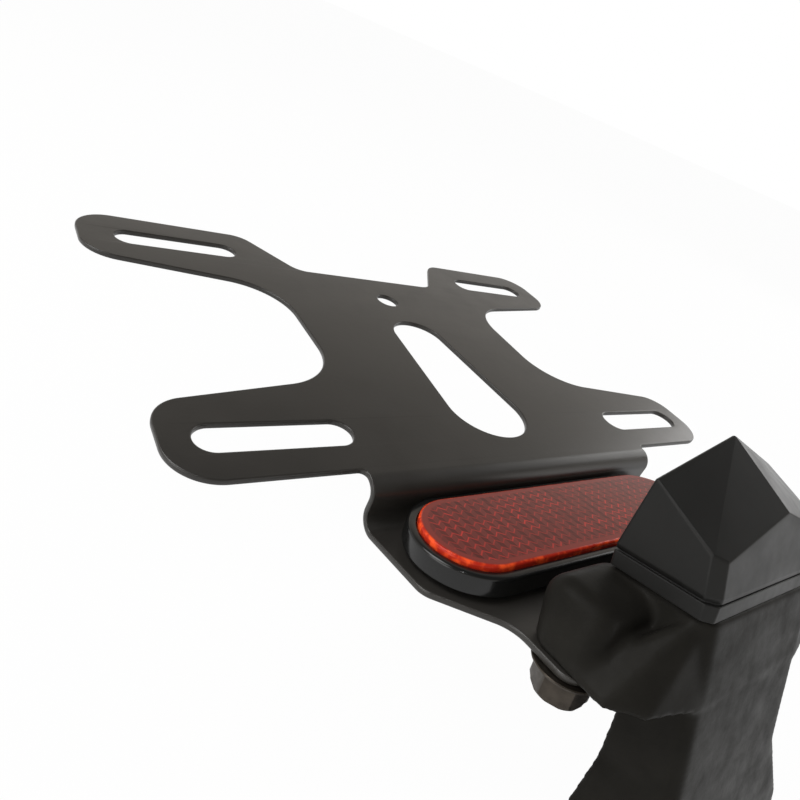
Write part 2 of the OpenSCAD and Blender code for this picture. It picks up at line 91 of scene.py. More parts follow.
BODY = "root"
PATCH_LOW = 0.3
PATCH_HIGH = 0.7
SHARP_ANGLE = math.radians(40)
AXIS_R = 1e-6
Point = tuple[float, float]
Corner = tuple[float, float, float]
Colour = tuple[float, float, float]
Socket = bpy.types.NodeSocket
Solid = bmesh.types.BMesh


class Slot(Enum):
    """The record's material slots."""

    POWDER_STEEL = "powder_steel"
    CUP_BLACK = "cup_black"
    LENS_RED = "lens_red"
    ZINC_STEEL = "zinc_steel"
    BOLT_STEEL = "bolt_steel"
    BRASS = "brass"
    ARM_BLACK = "arm_black"
    HOOD_BLACK = "hood_black"
    SEAL_RUBBER = "seal_rubber"
    PANE_CLEAR = "pane_clear"
    BOARD_WHITE = "board_white"
    LED_YELLOW = "led_yellow"


class Solver(Enum):
    """How a cut is worked out: EXACT takes a cutter that crosses itself, MANIFOLD is quick on dense skins."""

    EXACT = "EXACT"
    MANIFOLD = "MANIFOLD"


# Frames
@dataclass(frozen=True)
class Layout:
    """Where the plate, the flange, the lamp and the arm lie, as in the part's source."""

    sheet_t: float = 1.5
    fold_r: float = 3.0
    near_edge_y: float = -20.4
    step_drop: float = 10.7
    flange_tilt: float = 12.0
    seam_y: float = -71.415
    seam_z: float = 14.205
    seam_tilt: float = 18.4
    lamp_d: float = 21.2
    arm_tilt: float = 25.5
    arm_l: float = 95.0
    tail_back: float = 23.0
    cup_back: float = 15.7

    @property
    def fold_y(self) -> float:
        """Where the plate face ends and the first fold starts."""
        return self.near_edge_y - 1.6

    @property
    def wall_y(self) -> float:
        """The outer face of the step's upright wall."""
        return self.fold_y - self.fold_r - self.sheet_t

    @property
    def fold2_centre(self) -> Point:
        """Centre of the second fold, as y and z in the plate's frame."""
        tilt = math.radians(self.flange_tilt)
        rise = self.fold_r * (1 + math.sin(tilt)) / math.cos(tilt)
        return self.wall_y - self.fold_r, rise - self.step_drop

    @property
    def flange_start(self) -> Point:
        """End of the second fold on the flange's top, as y and z in the plate's frame."""
        tilt = math.radians(self.flange_tilt)
        y, z = self.fold2_centre
        return y - self.fold_r * math.sin(tilt), z - self.fold_r * math.cos(tilt)

    @property
    def cup_s(self) -> float:
        """Middle of the reflector along the flange."""
        return (self.wall_y - self.cup_back - self.flange_start[0]) / math.cos(math.radians(self.flange_tilt))

    @property
    def bolt_s(self) -> float:
        """Line of the flange bolts along the flange."""
        return self.cup_s - 29.3

    @property
    def arm_start(self) -> Point:
        """The arm's corner under the lamp, as y and z in the plate's frame."""
        tilt = math.radians(self.seam_tilt)
        return self.seam_y - self.lamp_d / 2 * math.cos(tilt), self.seam_z + self.lamp_d / 2 * math.sin(tilt)

    @property
    def tail_s(self) -> float:
        """Middle of the tail bolts along the arm."""
        return -self.arm_l + self.tail_back

    def plate(self) -> Matrix:
        """Frame of the plate's top face, in millimetres.

        Returns:
            The frame.
        """
        tilt = math.radians(self.arm_tilt)
        y, z = self.arm_start
        tail_y, tail_z = y + self.tail_s * math.sin(tilt), z + self.tail_s * math.cos(tilt)
        return Matrix.Translation((0, -tail_y, -tail_z))

    def flange(self) -> Matrix:
        """Frame of the flange's top face."""
        y, z = self.flange_start
        return (self.plate() @ Matrix.Translation((0, y, z))
                @ Matrix.Rotation(-math.radians(self.flange_tilt), 4, "X"))

    def lamp(self) -> Matrix:
        """Frame of the seam under the lamp."""
        return (self.plate() @ Matrix.Translation((0, self.seam_y, self.seam_z))
                @ Matrix.Rotation(-math.radians(self.seam_tilt), 4, "X"))

    def arm(self) -> Matrix:
        """Frame of the arm's top face, with +Z out of it and +Y towards the lamp."""
        y, z = self.arm_start
        return (self.plate() @ Matrix.Translation((0, y, z))
                @ Matrix.Rotation(math.radians(90 - self.arm_tilt), 4, "X"))


# Finishes
class Graph:
    """Adds nodes to a material's or a world's tree, one call for each node."""

    def __init__(self, tree: bpy.types.NodeTree) -> None:
        """Keeps the tree that the nodes go into."""
        self.tree = tree

    def feed(self, socket: Socket, value: object) -> None:
        """Links a socket to another, or sets its number, vector or colour.

        Args:
            socket: the input.
            value: the socket, number, vector or colour that it gets.
        """
        if isinstance(value, Socket):
            self.tree.links.new(value, socket)
        elif socket.type == "RGBA":
            socket.default_value = (*value, 1)
        else:
            socket.default_value = value

    def feed_all(self, node: bpy.types.Node, values: dict[str, object]) -> None:
        """Feeds each named input of a node."""
        for name, value in values.items():
            self.feed(node.inputs[name], value)

    def node(self, kind: str, **inputs: object) -> bpy.types.Node:
        """Adds a shader node and feeds its inputs.

        Args:
            kind: the node's type, without its prefix.
            inputs: a value or socket for each input, with an underscore for each space in its name.

        Returns:
            The node.
        """
        node = self.tree.nodes.new("ShaderNode" + kind)
        self.feed_all(node, {name.replace("_", " "): value for name, value in inputs.items()})
        return node

    def math(self, operation: str, *values: object) -> Socket:
        """Adds one step of arithmetic.

        Args:
            operation: the step's name.
            values: its numbers or sockets.

        Returns:
            Its result.
        """
        node = self.node("Math")
        node.operation = operation
        for socket, value in zip(node.inputs, values):
            self.feed(socket, value)
        return node.outputs["Value"]

    def step(self, value: Socket, low: float, high: float) -> Socket:
        """Adds a smooth ramp.

        Args:
            value: what the ramp reads.
            low: where it leaves 0.
            high: where it reaches 1.

        Returns:
            Its result.
        """
        node = self.node("MapRange", Value=value, From_Min=low, From_Max=high)
        node.interpolation_type = "SMOOTHSTEP"
        return node.outputs["Result"]

    def mix(self, factor: Socket, first: object, second: object) -> Socket:
        """Mixes two colours.

        Args:
            factor: the share of the second colour.
            first: a colour or socket.
            second: a colour or socket.

        Returns:
            The mixed colour.
        """
        node = self.node("Mix", Factor=factor)
        node.data_type = "RGBA"
        colours = [i for i in node.inputs if i.type == "RGBA"]
        for socket, colour in zip(colours, (first, second)):
            self.feed(socket, colour)
        return next(o for o in node.outputs if o.type == "RGBA")

    def ramp(self, value: Socket, stops: Sequence[tuple[float, Colour]]) -> Socket:
        """Adds a colour ramp.

        Args:
            value: what the ramp reads.
            stops: place and colour of each stop, in order.

        Returns:
            The ramp's colour.
        """
        node = self.node("ValToRGB", Fac=value)
        elements = node.color_ramp.elements
        for place, _ in stops[1:-1]:
            elements.new(place)
        for element, (place, colour) in zip(elements, stops):
            element.position = place
            element.color = (*colour, 1)
        return node.outputs["Color"]

    def noise(self, place: Socket, scale: float, detail: float, rough: float = 0.5) -> Socket:
        """Adds a noise texture and returns its value."""
        return self.node("TexNoise", Vector=place, Scale=scale, Detail=detail, Roughness=rough).outputs["Fac"]


@dataclass(frozen=True)
class Grain:
    """One layer of surface relief.

    size is the width of a grain and depth its height, both in millimetres. detail is the number
    of finer octaves and roughness their strength.
    """

    size: float
    depth: float
    detail: float = 2.0
    roughness: float = 0.5


@dataclass(frozen=True)
class Finish:
    """A surface finish: colour, gloss, relief and the small changes over it.

    mottle and gloss_spread are how much the colour and the roughness change from patch to patch.
    mottle_size and gloss_size are the width of a patch in millimetres. slot is the record's
    material that the finish stands for; it is not used.
    """

    name: str
    slot: Slot
    colour: Colour
    roughness: float = 0.4
    metallic: float = 0.0
    specular: float = 0.5
    sheen_level: float = 1.0
    ior: float = 1.5
    transmission: float = 0.0
    mottle: float = 0.06
    mottle_size: float = 18.0
    gloss_spread: float = 0.06
    gloss_size: float = 9.0
    grains: tuple[Grain, ...] = ()

    def material(self) -> bpy.types.Material:
        """Makes the finish's node material, once.

        Returns:
            The material, named after the finish.
        """
        found = bpy.data.materials.get(self.name)
        if found:
            return found
        mat = bpy.data.materials.new(self.name)
        mat.use_nodes = True
        graph = Graph(mat.node_tree)
        place = graph.node("TexCoord").outputs["Object"]
        values = {
            "Base Color": self._colour(graph, place),
            "Roughness": self._gloss(graph, place),
            "Metallic": self.metallic,
            "Specular IOR Level": self.specular,
            "Specular Tint": (self.sheen_level,) * 3,
            "IOR": self.ior,
            "Transmission Weight": self.transmission,
        }
        if self.grains:
            values["Normal"] = self._relief(graph, place)
        graph.feed_all(mat.node_tree.nodes["Principled BSDF"], values)
        return mat

    def _colour(self, graph: Graph, place: Socket) -> Socket:
        """Adds the slow mottling of the colour.

        Args:
            graph: the material's nodes.
            place: the coordinates that the textures read.

        Returns:
            The colour.
        """
        dark, pale = (tuple(max(0.0, c * (1 + sign * self.mottle)) for c in self.colour) for sign in (-1, 1))
        patches = graph.noise(place, 1 / (self.mottle_size * MM), 3)
        return graph.ramp(patches, ((PATCH_LOW, dark), (PATCH_HIGH, pale)))

    def _gloss(self, graph: Graph, place: Socket) -> Socket:
        """Adds the small changes of the roughness.

        Args:
            graph: the material's nodes.
            place: the coordinates that the textures read.

        Returns:
            The roughness.
        """
        low = max(0.02, self.roughness - self.gloss_spread)
        high = min(1.0, self.roughness + self.gloss_spread)
        patches = graph.noise(place, 1 / (self.gloss_size * MM), 4, 0.6)
        spread = graph.node("MapRange", Value=patches, From_Min=PATCH_LOW, From_Max=PATCH_HIGH, To_Min=low,
                            To_Max=high)
        return spread.outputs["Result"]

    def _relief(self, graph: Graph, place: Socket) -> Socket:
        """Adds one bump for each grain.

        Args:
            graph: the material's nodes.
            place: the coordinates that the textures read.

        Returns:
            The bumped normal.
        """
        inputs: dict[str, object] = {}
        for grain in self.grains:
            height = graph.noise(place, 1 / (grain.size * MM), grain.detail, grain.roughness)
            bump = graph.node("Bump", Strength=1.0, Distance=grain.depth * MM, Height=height, **inputs)
            inputs["Normal"] = bump.outputs["Normal"]
        return inputs["Normal"]


@dataclass(frozen=True)
class PrismFinish:
    """The reflector's red plastic: rows of chevron prisms inside a plain border, with painted light on
    alternate facets, painted glints along the ridges, and a side painted bright red with orange glints.

    place is the lens's frame, and reach and radius are the half length between its round ends and
    their radius. pitch and row are the size of a prism, slant is the slope of its ridges and line
    the share of a row that a ridge takes. band is the width of the border.
    """

    place: Matrix
    reach: float
    radius: float
    name: str = "reflector_red"
    slot: Slot = Slot.LENS_RED
    ground: Colour = (0.085, 0.020, 0.017)
    # painted light: the lighter red of prism facets that face the light; ground is the other facets' colour
    painted_lit_facet: Colour = (0.15, 0.032, 0.027)
    # painted glint: the bright red of light caught on the prisms' ridges
    painted_glint: Colour = (0.62, 0.040, 0.032)
    border: Colour = (0.19, 0.034, 0.028)
    # painted light: the lens's side is coloured bright red, as if lit through the plastic
    side: Colour = (0.42, 0.022, 0.010)
    # painted glints: orange spots of painted light on the lens's side
    painted_side_glow: Colour = (0.85, 0.085, 0.02)
    roughness: float = 0.09
    specular: float = 0.12
    ior: float = 1.49
    pitch: float = 2.7
    row: float = 2.2
    slant: float = 0.9
    line: float = 0.15
    band: float = 1.9
    wave_depth: float = 0.004

    def material(self) -> bpy.types.Material:
        """Makes the finish's node material.

        Returns:
            The material.
        """
        mat = bpy.data.materials.new(self.name)
        mat.use_nodes = True
        graph = Graph(mat.node_tree)
        local = graph.node("Mapping", Vector=graph.node("TexCoord").outputs["Object"], Scale=(1 / MM,) * 3,
                           Rotation=self.place.to_3x3().inverted().to_euler(),
                           Location=self.place.inverted().to_translation()).outputs["Vector"]
        split = graph.node("SeparateXYZ", Vector=local)
        x, y = split.outputs["X"], split.outputs["Y"]
        edge = self._edge_distance(graph, x, y)
        # painted glints: noise that picks where the side's orange glints show
        painted_side_glints = graph.step(graph.noise(local, 0.45, 3.0), 0.42, 0.66)
        in_border = graph.step(edge, -self.band - 0.25, -self.band + 0.25)
        colour = graph.mix(in_border, self._face(graph, x, y), self.border)
        # painted light: the band along the lens's outer edge gets a bright red glow with painted orange
        # glints
        painted_side_colour = graph.mix(painted_side_glints, self.side, self.painted_side_glow)
        colour = graph.mix(graph.step(edge, -0.75, -0.25), colour, painted_side_colour)
        gloss = graph.math("MULTIPLY_ADD", graph.noise(local, 0.12, 3.0), 0.06, self.roughness - 0.03)
        bump = graph.node("Bump", Distance=self.wave_depth * MM, Height=graph.noise(local, 0.25, 2.0))
        graph.feed_all(mat.node_tree.nodes["Principled BSDF"], {
            "Base Color": colour,
            "Roughness": gloss,
            "Normal": bump.outputs["Normal"],
            "Specular IOR Level": self.specular,
            "IOR": self.ior,
        })
        return mat

    def _face(self, graph: Graph, x: Socket, y: Socket) -> Socket:
        """Adds the prisms' facets, with alternate halves painted lighter as if lit, and painted glints along
        their ridges and seams.

        Args:
            graph: the material's nodes.
            x: place along the lens.
            y: place across the lens.

        Returns:
            The face's colour.
        """
        wave = graph.math("PINGPONG", x, self.pitch / 2)
        rows = graph.math("DIVIDE", graph.math("MULTIPLY_ADD", wave, self.slant, y), self.row)
        columns = graph.math("DIVIDE", x, self.pitch / 2)
        near = graph.math("ABSOLUTE", graph.math("SUBTRACT", graph.math("FRACT", rows), 0.5))
        # where the prisms' ridges and seams run; these lines get painted glints below
        ridge = graph.step(near, 0.5 - self.line, 0.5 - self.line / 3)
        seam = graph.math("ABSOLUTE", graph.math("SUBTRACT", graph.math("FRACT", columns), 0.5))
        seam = graph.math("MULTIPLY", graph.step(seam, 0.40, 0.48), 0.35)
        cell = graph.node("CombineXYZ", X=graph.math("FLOOR", columns),
                          Y=graph.math("FLOOR", rows)).outputs["Vector"]
        chance = graph.node("TexWhiteNoise", Vector=cell).outputs["Value"]
        # painted glints: slow noise makes clusters of ridges glint brighter, and each cell's chance sets its
        # own glint
        painted_glint_drift = graph.step(graph.noise(cell, 0.16, 2.0), 0.30, 0.72)
        painted_glint_strength = graph.math("MULTIPLY", graph.math("MULTIPLY_ADD", chance, 0.85, 0.10),
                         graph.math("MULTIPLY_ADD", painted_glint_drift, 0.75, 0.25))
        # painted shade: alternate halves of each chevron are coloured lighter as lit facets, plus a random
        # change of tone
        turn = graph.math("FRACT", graph.math("MULTIPLY", columns, 0.5))
        facet_light_and_tone = graph.math("MULTIPLY_ADD", graph.math("GREATER_THAN", turn, 0.5), 0.6,
                          graph.math("MULTIPLY", chance, 0.4))
        # painted glints: the ridge and seam lines take the painted glint colour
        painted_glint_lines = graph.math("MULTIPLY", graph.math("MAXIMUM", ridge, seam), painted_glint_strength)
        return graph.mix(painted_glint_lines, graph.mix(facet_light_and_tone, self.ground, self.painted_lit_facet), self.painted_glint)

    def _edge_distance(self, graph: Graph, x: Socket, y: Socket) -> Socket:
        """Adds the distance from the lens's outline, negative inside it.

        Args:
            graph: the material's nodes.
            x: place along the lens.
            y: place across the lens.

        Returns:
            The distance.
        """
        over = graph.math("MAXIMUM", graph.math("SUBTRACT", graph.math("ABSOLUTE", x), self.reach), 0.0)
        squares = graph.math("ADD", graph.math("MULTIPLY", over, over), graph.math("MULTIPLY", y, y))
        return graph.math("SUBTRACT", graph.math("SQRT", squares), self.radius)


POWDER_COAT = Finish("powder_coat", Slot.POWDER_STEEL, (0.026, 0.0242, 0.0218), roughness=0.33, specular=0.36,
                     mottle=0.08, gloss_spread=0.03, grains=(Grain(1.3, 0.010), Grain(0.35, 0.0025, 1)))
CUP_GLOSS = Finish("cup_gloss", Slot.CUP_BLACK, (0.007, 0.0072, 0.0070), roughness=0.17, specular=0.35,
                   mottle=0.08, gloss_spread=0.05, grains=(Grain(6.0, 0.03), Grain(0.8, 0.0015)))
MOULDED_BLACK = Finish("moulded_black", Slot.ARM_BLACK, (0.0125, 0.0118, 0.0103), roughness=0.40,
                       specular=0.05, sheen_level=0.6, mottle=0.18, mottle_size=9.0, gloss_spread=0.10,
                       gloss_size=6.0,
                       grains=(Grain(7.0, 0.03), Grain(0.9, 0.016, 3, 0.6), Grain(0.38, 0.007)))
HOOD_BLACK = Finish("hood_satin", Slot.HOOD_BLACK, (0.0115, 0.0114, 0.0108), roughness=0.44, specular=0.22,
                    sheen_level=0.7, mottle=0.10, gloss_size=7.0,
                    grains=(Grain(6.0, 0.012), Grain(0.7, 0.0035, 3, 0.6)))
COVER_BLACK = Finish("cover_black", Slot.ARM_BLACK, (0.014, 0.0135, 0.0125), roughness=0.5, specular=0.25,
                     mottle=0.12, gloss_spread=0.07, grains=(Grain(0.9, 0.02, 3, 0.6), Grain(0.35, 0.006, 1)))
ZINC = Finish("zinc", Slot.ZINC_STEEL, (0.52, 0.52, 0.50), roughness=0.34, metallic=1.0, mottle=0.08,
              mottle_size=4.0, grains=(Grain(0.6, 0.006),))
DARK_STEEL = Finish("dark_steel", Slot.BOLT_STEEL, (0.052, 0.044, 0.036), roughness=0.36, metallic=0.9,
                    mottle=0.25, mottle_size=2.5, gloss_spread=0.1, gloss_size=2.0,
                    grains=(Grain(0.8, 0.02, 3),))
BRASS = Finish("insert_brass", Slot.BRASS, (0.68, 0.48, 0.22), roughness=0.32, metallic=1.0, mottle=0.08,
               mottle_size=4.0, grains=(Grain(0.6, 0.006),))
SOFT_RUBBER = Finish("soft_rubber", Slot.SEAL_RUBBER, (0.016, 0.016, 0.016), roughness=0.7, mottle=0.1,
                     grains=(Grain(0.5, 0.01),))
CLEAR = Finish("clear_pane", Slot.PANE_CLEAR, (0.92, 0.95, 0.95), roughness=0.05, transmission=1.0, ior=1.49,
               mottle=0.01, gloss_spread=0.01)
BOARD = Finish("board_enamel", Slot.BOARD_WHITE, (0.75, 0.76, 0.72), mottle=0.03,
               grains=(Grain(0.4, 0.004, 1),))
DIODE = Finish("diode_yellow", Slot.LED_YELLOW, (0.86, 0.66, 0.16), roughness=0.3, mottle_size=2.0,
               grains=(Grain(0.4, 0.004, 1),))


# Outlines and meshes
def arc(centre: Point, radius: float, start: float, end: float, step: float = 0.5) -> list[Point]:
    """Points along an arc.

    Args:
        centre: the arc's centre.
        radius: its radius.
        start: its first angle, in radians.
        end: its last angle, in radians.
        step: the longest distance between two points.

    Returns:
        The points, with both ends.
    """
    count = max(6, math.ceil(abs(end - start) * radius / step))
    angles = [start + (end - start) * i / count for i in range(count + 1)]
    return [(centre[0] + radius * math.cos(a), centre[1] + radius * math.sin(a)) for a in angles]


def rounded(corners: Sequence[Corner], step: float = 0.5) -> list[Point]:
    """Closed outline through corners, each with its own radius.

    Args:
        corners: x, y and radius of each corner.
        step: the longest distance between two points of an arc.

    Returns:
        The outline's points.
    """
    outline: list[Point] = []
    for i, (x, y, radius) in enumerate(corners):
        if radius == 0:
            outline.append((x, y))
            continue
        at = Vector((x, y))
        back = (Vector(corners[i - 1][:2]) - at).normalized()
        on = (Vector(corners[(i + 1) % len(corners)][:2]) - at).normalized()
        half = back.angle(on) / 2
        centre = at + (back + on).normalized() * radius / math.sin(half)
        first = at + back * radius / math.tan(half) - centre
        last = at + on * radius / math.tan(half) - centre
        start = math.atan2(first.y, first.x)
        turn = (math.atan2(last.y, last.x) - start + math.pi) % (2 * math.pi) - math.pi
        outline += arc(tuple(centre), radius, start, start + turn, step)
    return outline


def both_sides(half: Sequence[Corner]) -> list[Corner]:
    """The right half of an outline, closed by its mirror image."""
    return [*half, *[(-x, y, r) for x, y, r in reversed(half)]]


def obround(length: float, width: float, centre: Point = (0.0, 0.0), step: float = 0.5) -> list[Point]:
    """Outline of a slot with round ends, its length along X.

    Args:
        length: its length over both ends.
        width: its width.
        centre: its middle.
        step: the longest distance between two points of an arc.

    Returns:
        The outline's points.
    """
    radius, reach = width / 2, (length - width) / 2
    x, y = centre
    return (arc((x + reach, y), radius, -math.pi / 2, math.pi / 2, step)
            + arc((x - reach, y), radius, math.pi / 2, 3 * math.pi / 2, step))


def disc(radius: float, centre: Point = (0.0, 0.0), step: float = 0.4) -> list[Point]:
    """Outline of a round hole."""
    return arc(centre, radius, 0, 2 * math.pi, step)[:-1]


def linked(name: str, data: bpy.types.ID) -> bpy.types.Object:
    """Makes an object of some data and links it to the scene."""
    made = bpy.data.objects.new(name, data)
    bpy.context.scene.collection.objects.link(made)
    return made


def mesh_of(solid: Solid, name: str = "part") -> bpy.types.Mesh:
    """Makes mesh data of a solid, which is freed.

    Args:
        solid: the solid.
        name: the mesh's name.

    Returns:
        The mesh.
    """
    mesh = bpy.data.meshes.new(name)
    solid.to_mesh(mesh)
    solid.free()
    return mesh


def solid_of(mesh: bpy.types.Mesh) -> Solid:
    """Makes a solid of mesh data."""
    solid = bmesh.new()
    solid.from_mesh(mesh)
    return solid


def applied(holder: bpy.types.Object) -> Solid:
    """Makes a solid of what an object's curve or modifiers give.

    Args:
        holder: the object.

    Returns:
        The solid.
    """
    mesh = bpy.data.meshes.new_from_object(holder.evaluated_get(bpy.context.evaluated_depsgraph_get()))
    solid = solid_of(mesh)
    bpy.data.batch_remove((mesh, holder, holder.data))
    return solid


def sheet_solid(outline: Sequence[Point], holes: Iterable[Sequence[Point]], thickness: float,
                edge: float) -> Solid:
    """Flat solid with rounded edges, lying on both sides of z = 0.

    Args:
        outline: its outer outline.
        holes: the outlines cut out of it.
        thickness: its thickness.
        edge: radius of its edges.

    Returns:
        The solid.
    """
    curve = bpy.data.curves.new("outline", "CURVE")
    curve.dimensions = "2D"
    curve.fill_mode = "BOTH"
    curve.extrude = thickness / 2 - edge
    curve.bevel_depth = edge
    curve.bevel_resolution = 2
    curve.offset = -edge
    for loop in (outline, *holes):
        spline = curve.splines.new("POLY")
        spline.points.add(len(loop) - 1)
        for point, (x, y) in zip(spline.points, loop):
            point.co = (x, y, 0, 1)
        spline.use_cyclic_u = True
    solid = applied(linked("outline", curve))
    bmesh.ops.remove_doubles(solid, verts=solid.verts, dist=1e-3)
    bmesh.ops.recalc_face_normals(solid, faces=solid.faces)
    return solid


def swept_ring(outline: Sequence[Point], profile: Sequence[Point]) -> Solid:
    """Sweeps a profile around an outline and closes both its ends.

    Args:
        outline: the closed path, anticlockwise.
        profile: how far inside the path and how high each point of the profile is.

    Returns:
        The swept solid.
    """
    solid = bmesh.new()
    count = len(outline)
    rings = []
    for inset, height in profile:
        ring = []
        for i in range(count):
            back, on = Vector(outline[i - 1]), Vector(outline[(i + 1) % count])
            along = (on - back).normalized()
            inward = Vector((-along.y, along.x))
            at = Vector(outline[i]) + inward * inset
            ring.append(solid.verts.new((at.x, at.y, height)))
        rings.append(ring)
    for low, high in zip(rings, rings[1:]):
        for i in range(count):
            j = (i + 1) % count
            solid.faces.new((low[i], low[j], high[j], high[i]))
    solid.faces.new(rings[0][::-1])
    solid.faces.new(rings[-1])
    bmesh.ops.recalc_face_normals(solid, faces=solid.faces)
    return solid


def lathe(profile: Sequence[Point], steps: int = 48) -> Solid:
    """Turns a closed profile of radius and height around Z.

    Args:
        profile: its points; those at radius 0 become poles.
        steps: faces around the axis.

    Returns:
        The turned solid.
    """
    solid = bmesh.new()
    angles = [2 * math.pi * i / steps for i in range(steps)]
    rings = []
    for radius, height in profile:
        if radius < AXIS_R:
            rings.append([solid.verts.new((0, 0, height))] * steps)
            continue
        rings.append([solid.verts.new((radius * math.cos(a), radius * math.sin(a), height)) for a in angles])
    loop = profile[0][0] > AXIS_R or profile[-1][0] > AXIS_R
    pairs = zip(rings, rings[1:] + rings[:1]) if loop else zip(rings, rings[1:])
    for low, high in pairs:
        for i in range(steps):
            j = (i + 1) % steps
            corners = list(dict.fromkeys((low[i], low[j], high[j], high[i])))
            if len(corners) > 2:
                solid.faces.new(corners)
    bmesh.ops.recalc_face_normals(solid, faces=solid.faces)
    return solid


def add_dressed(name: str, mesh: bpy.types.Mesh, finish: Finish | PrismFinish, node: str) -> bpy.types.Object:
    """Makes a piece of mesh data in metres, dresses it and stands it in for a CAD node.

    Args:
        name: the piece's name.
        mesh: its mesh.
        finish: its finish.
        node: the CAD node that it replaces.

    Returns:
        The piece's object.
    """
    mesh.shade_smooth()
    mesh.materials.append(finish.material())
    piece = linked(name, mesh)
    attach(piece, BODY)
    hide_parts(node)
    LOG.info("%s: %d faces, %s", name, len(mesh.polygons), finish.name)
    return piece


def add_piece(name: str, solid: Solid, place: Matrix, finish: Finish | PrismFinish, node: str,
              smooth_angle: float = 35.0) -> None:
    """Makes a piece with crisp edges of a solid in millimetres.

    Args:
        name: the piece's name.
        solid: its solid, which is freed.
        place: the frame that the solid is in.
        finish: its finish.
        node: the CAD node that it replaces.
        smooth_angle: the largest angle in degrees that is shaded smooth.
    """
    bmesh.ops.transform(solid, matrix=Matrix.Scale(MM, 4) @ place, verts=solid.verts)
    piece = add_dressed(name, mesh_of(solid, name), finish, node)
    piece.data.set_sharp_from_angle(angle=math.radians(smooth_angle))
    weighted = piece.modifiers.new("flat_normals", "WEIGHTED_NORMAL")
    weighted.keep_sharp = True
    weighted.weight = 90


def soften_node(node: str, name: str, finish: Finish, edge: float = 0.0, segments: int = 2,
                smooth_angle: float = 35.0, shape: Callable[[Vector], Vector] | None = None) -> None:
    """Stands a piece with rounded edges in for a CAD node of the same shape.

    Args:
        node: the CAD node.
        name: the piece's name.
        finish: its finish.
        edge: radius of its edges in millimetres; 0 leaves them as they are.
        segments: faces across a rounded edge.
        smooth_angle: the largest angle in degrees that is shaded smooth.
        shape: where each of its points goes, in metres.
    """
    source = frame["nodes"][node]
    solid = solid_of(source.data)
    bmesh.ops.transform(solid, matrix=source.matrix_world, verts=solid.verts)
    bmesh.ops.remove_doubles(solid, verts=solid.verts, dist=1e-7)
    bmesh.ops.dissolve_limit(solid, angle_limit=math.radians(0.5), verts=solid.verts, edges=solid.edges)
    if edge > 0:
        sharp = [e for e in solid.edges if e.is_manifold and e.calc_face_angle(0) > SHARP_ANGLE]
        bmesh.ops.bevel(solid, geom=sharp, offset=edge * MM, offset_type="OFFSET", segments=segments,
                        profile=0.5, affect="EDGES", clamp_overlap=True)
    if shape:
        for vert in solid.verts:
            vert.co = shape(vert.co)
    bmesh.ops.triangulate(solid, faces=[f for f in solid.faces if len(f.verts) > 4])
    add_piece(name, solid, Matrix.Scale(1 / MM, 4), finish, node, smooth_angle)


def joined(parts: Iterable[tuple[Solid, Matrix]]) -> Solid:
    """Joins solids, each moved to its own place, into one.

    Args:
        parts: each solid, which is freed, and its place.

    Returns:
        The joined solid.
    """
    whole = bmesh.new()
    for part, place in parts:
        bmesh.ops.transform(part, matrix=place, verts=part.verts)
        mesh = mesh_of(part)
        whole.from_mesh(mesh)
        bpy.data.meshes.remove(mesh)
    return whole


def difference(solid: Solid, cutter: Solid, solver: Solver) -> Solid:
    """Cuts one solid out of another; both are freed.

    Args:
        solid: what is cut.
        cutter: what is taken away.
        solver: how the cut is worked out.

    Returns:
        What is left.
    """
    body, tool = linked("part", mesh_of(solid)), linked("tool", mesh_of(cutter))
    cut = body.modifiers.new("cut", "BOOLEAN")
    cut.operation = "DIFFERENCE"
    cut.solver = solver.value
    cut.use_self = solver is Solver.EXACT
    cut.object = tool
    left = applied(body)
    bpy.data.batch_remove((tool, tool.data))
    return left


def hexagon_prism(across: float, low: float, high: float, chamfer: float, steps: int = 72) -> Solid:
    """Hexagon whose corners are turned off at both ends, as on a nut or a bolt head.

    Args:
        across: its size across flats.
        low: height of its lower end.
        high: height of its upper end.
        chamfer: height of the turned corners; 0 leaves the upper end square.
        steps: points around it.

    Returns:
        The solid.
    """
    half = across / 2
    turned_r = half / math.cos(math.pi / 6) - 0.12
    rows = []
    solid = bmesh.new()
    for z, limit in ((low, half - 0.35), (low + 0.25, half + 0.15), (low + 0.9, 2 * half),
                     (high - max(chamfer, 0.02), 2 * half), (high, half - 0.1 if chamfer else 2 * half)):
        ring = []
        for i in range(steps):
            angle = 2 * math.pi * i / steps
            off = (angle + math.pi / 6) % (math.pi / 3) - math.pi / 6
            radius = min(half / math.cos(off), limit, turned_r)
            ring.append(solid.verts.new((radius * math.sin(angle), radius * math.cos(angle), z)))
        rows.append(ring)
    for below, above in zip(rows, rows[1:]):
        for i in range(steps):
            j = (i + 1) % steps
            solid.faces.new((below[i], below[j], above[j], above[i]))
    solid.faces.new(rows[0])
    solid.faces.new(rows[-1][::-1])
    bmesh.ops.recalc_face_normals(solid, faces=solid.faces)
    return solid


def thread_profile(radius: float, low: float, high: float, pitch: float) -> list[Point]:
    """Profile of a threaded rod, with its thread as rings of ridges.

    Args:
        radius: the thread's outer radius.
        low: height of its lower end.
        high: height of its upper end.
        pitch: distance between two ridges.

    Returns:
        Radius and height of the profile's points.
    """
    root_r, end_r = radius - 0.55 * pitch, radius - 0.6
    lead_in = 0.4
    turns = max(1, round((high - low - 2 * lead_in) / pitch))
    step = (high - low - 2 * lead_in) / turns
    profile = [(0.0, low), (end_r, low), (root_r, low + lead_in)]
    for i in range(turns):
        profile += [(radius, low + lead_in + (i + 0.5) * step), (root_r, low + lead_in + (i + 1) * step)]
    return profile + [(end_r, high), (0.0, high)]


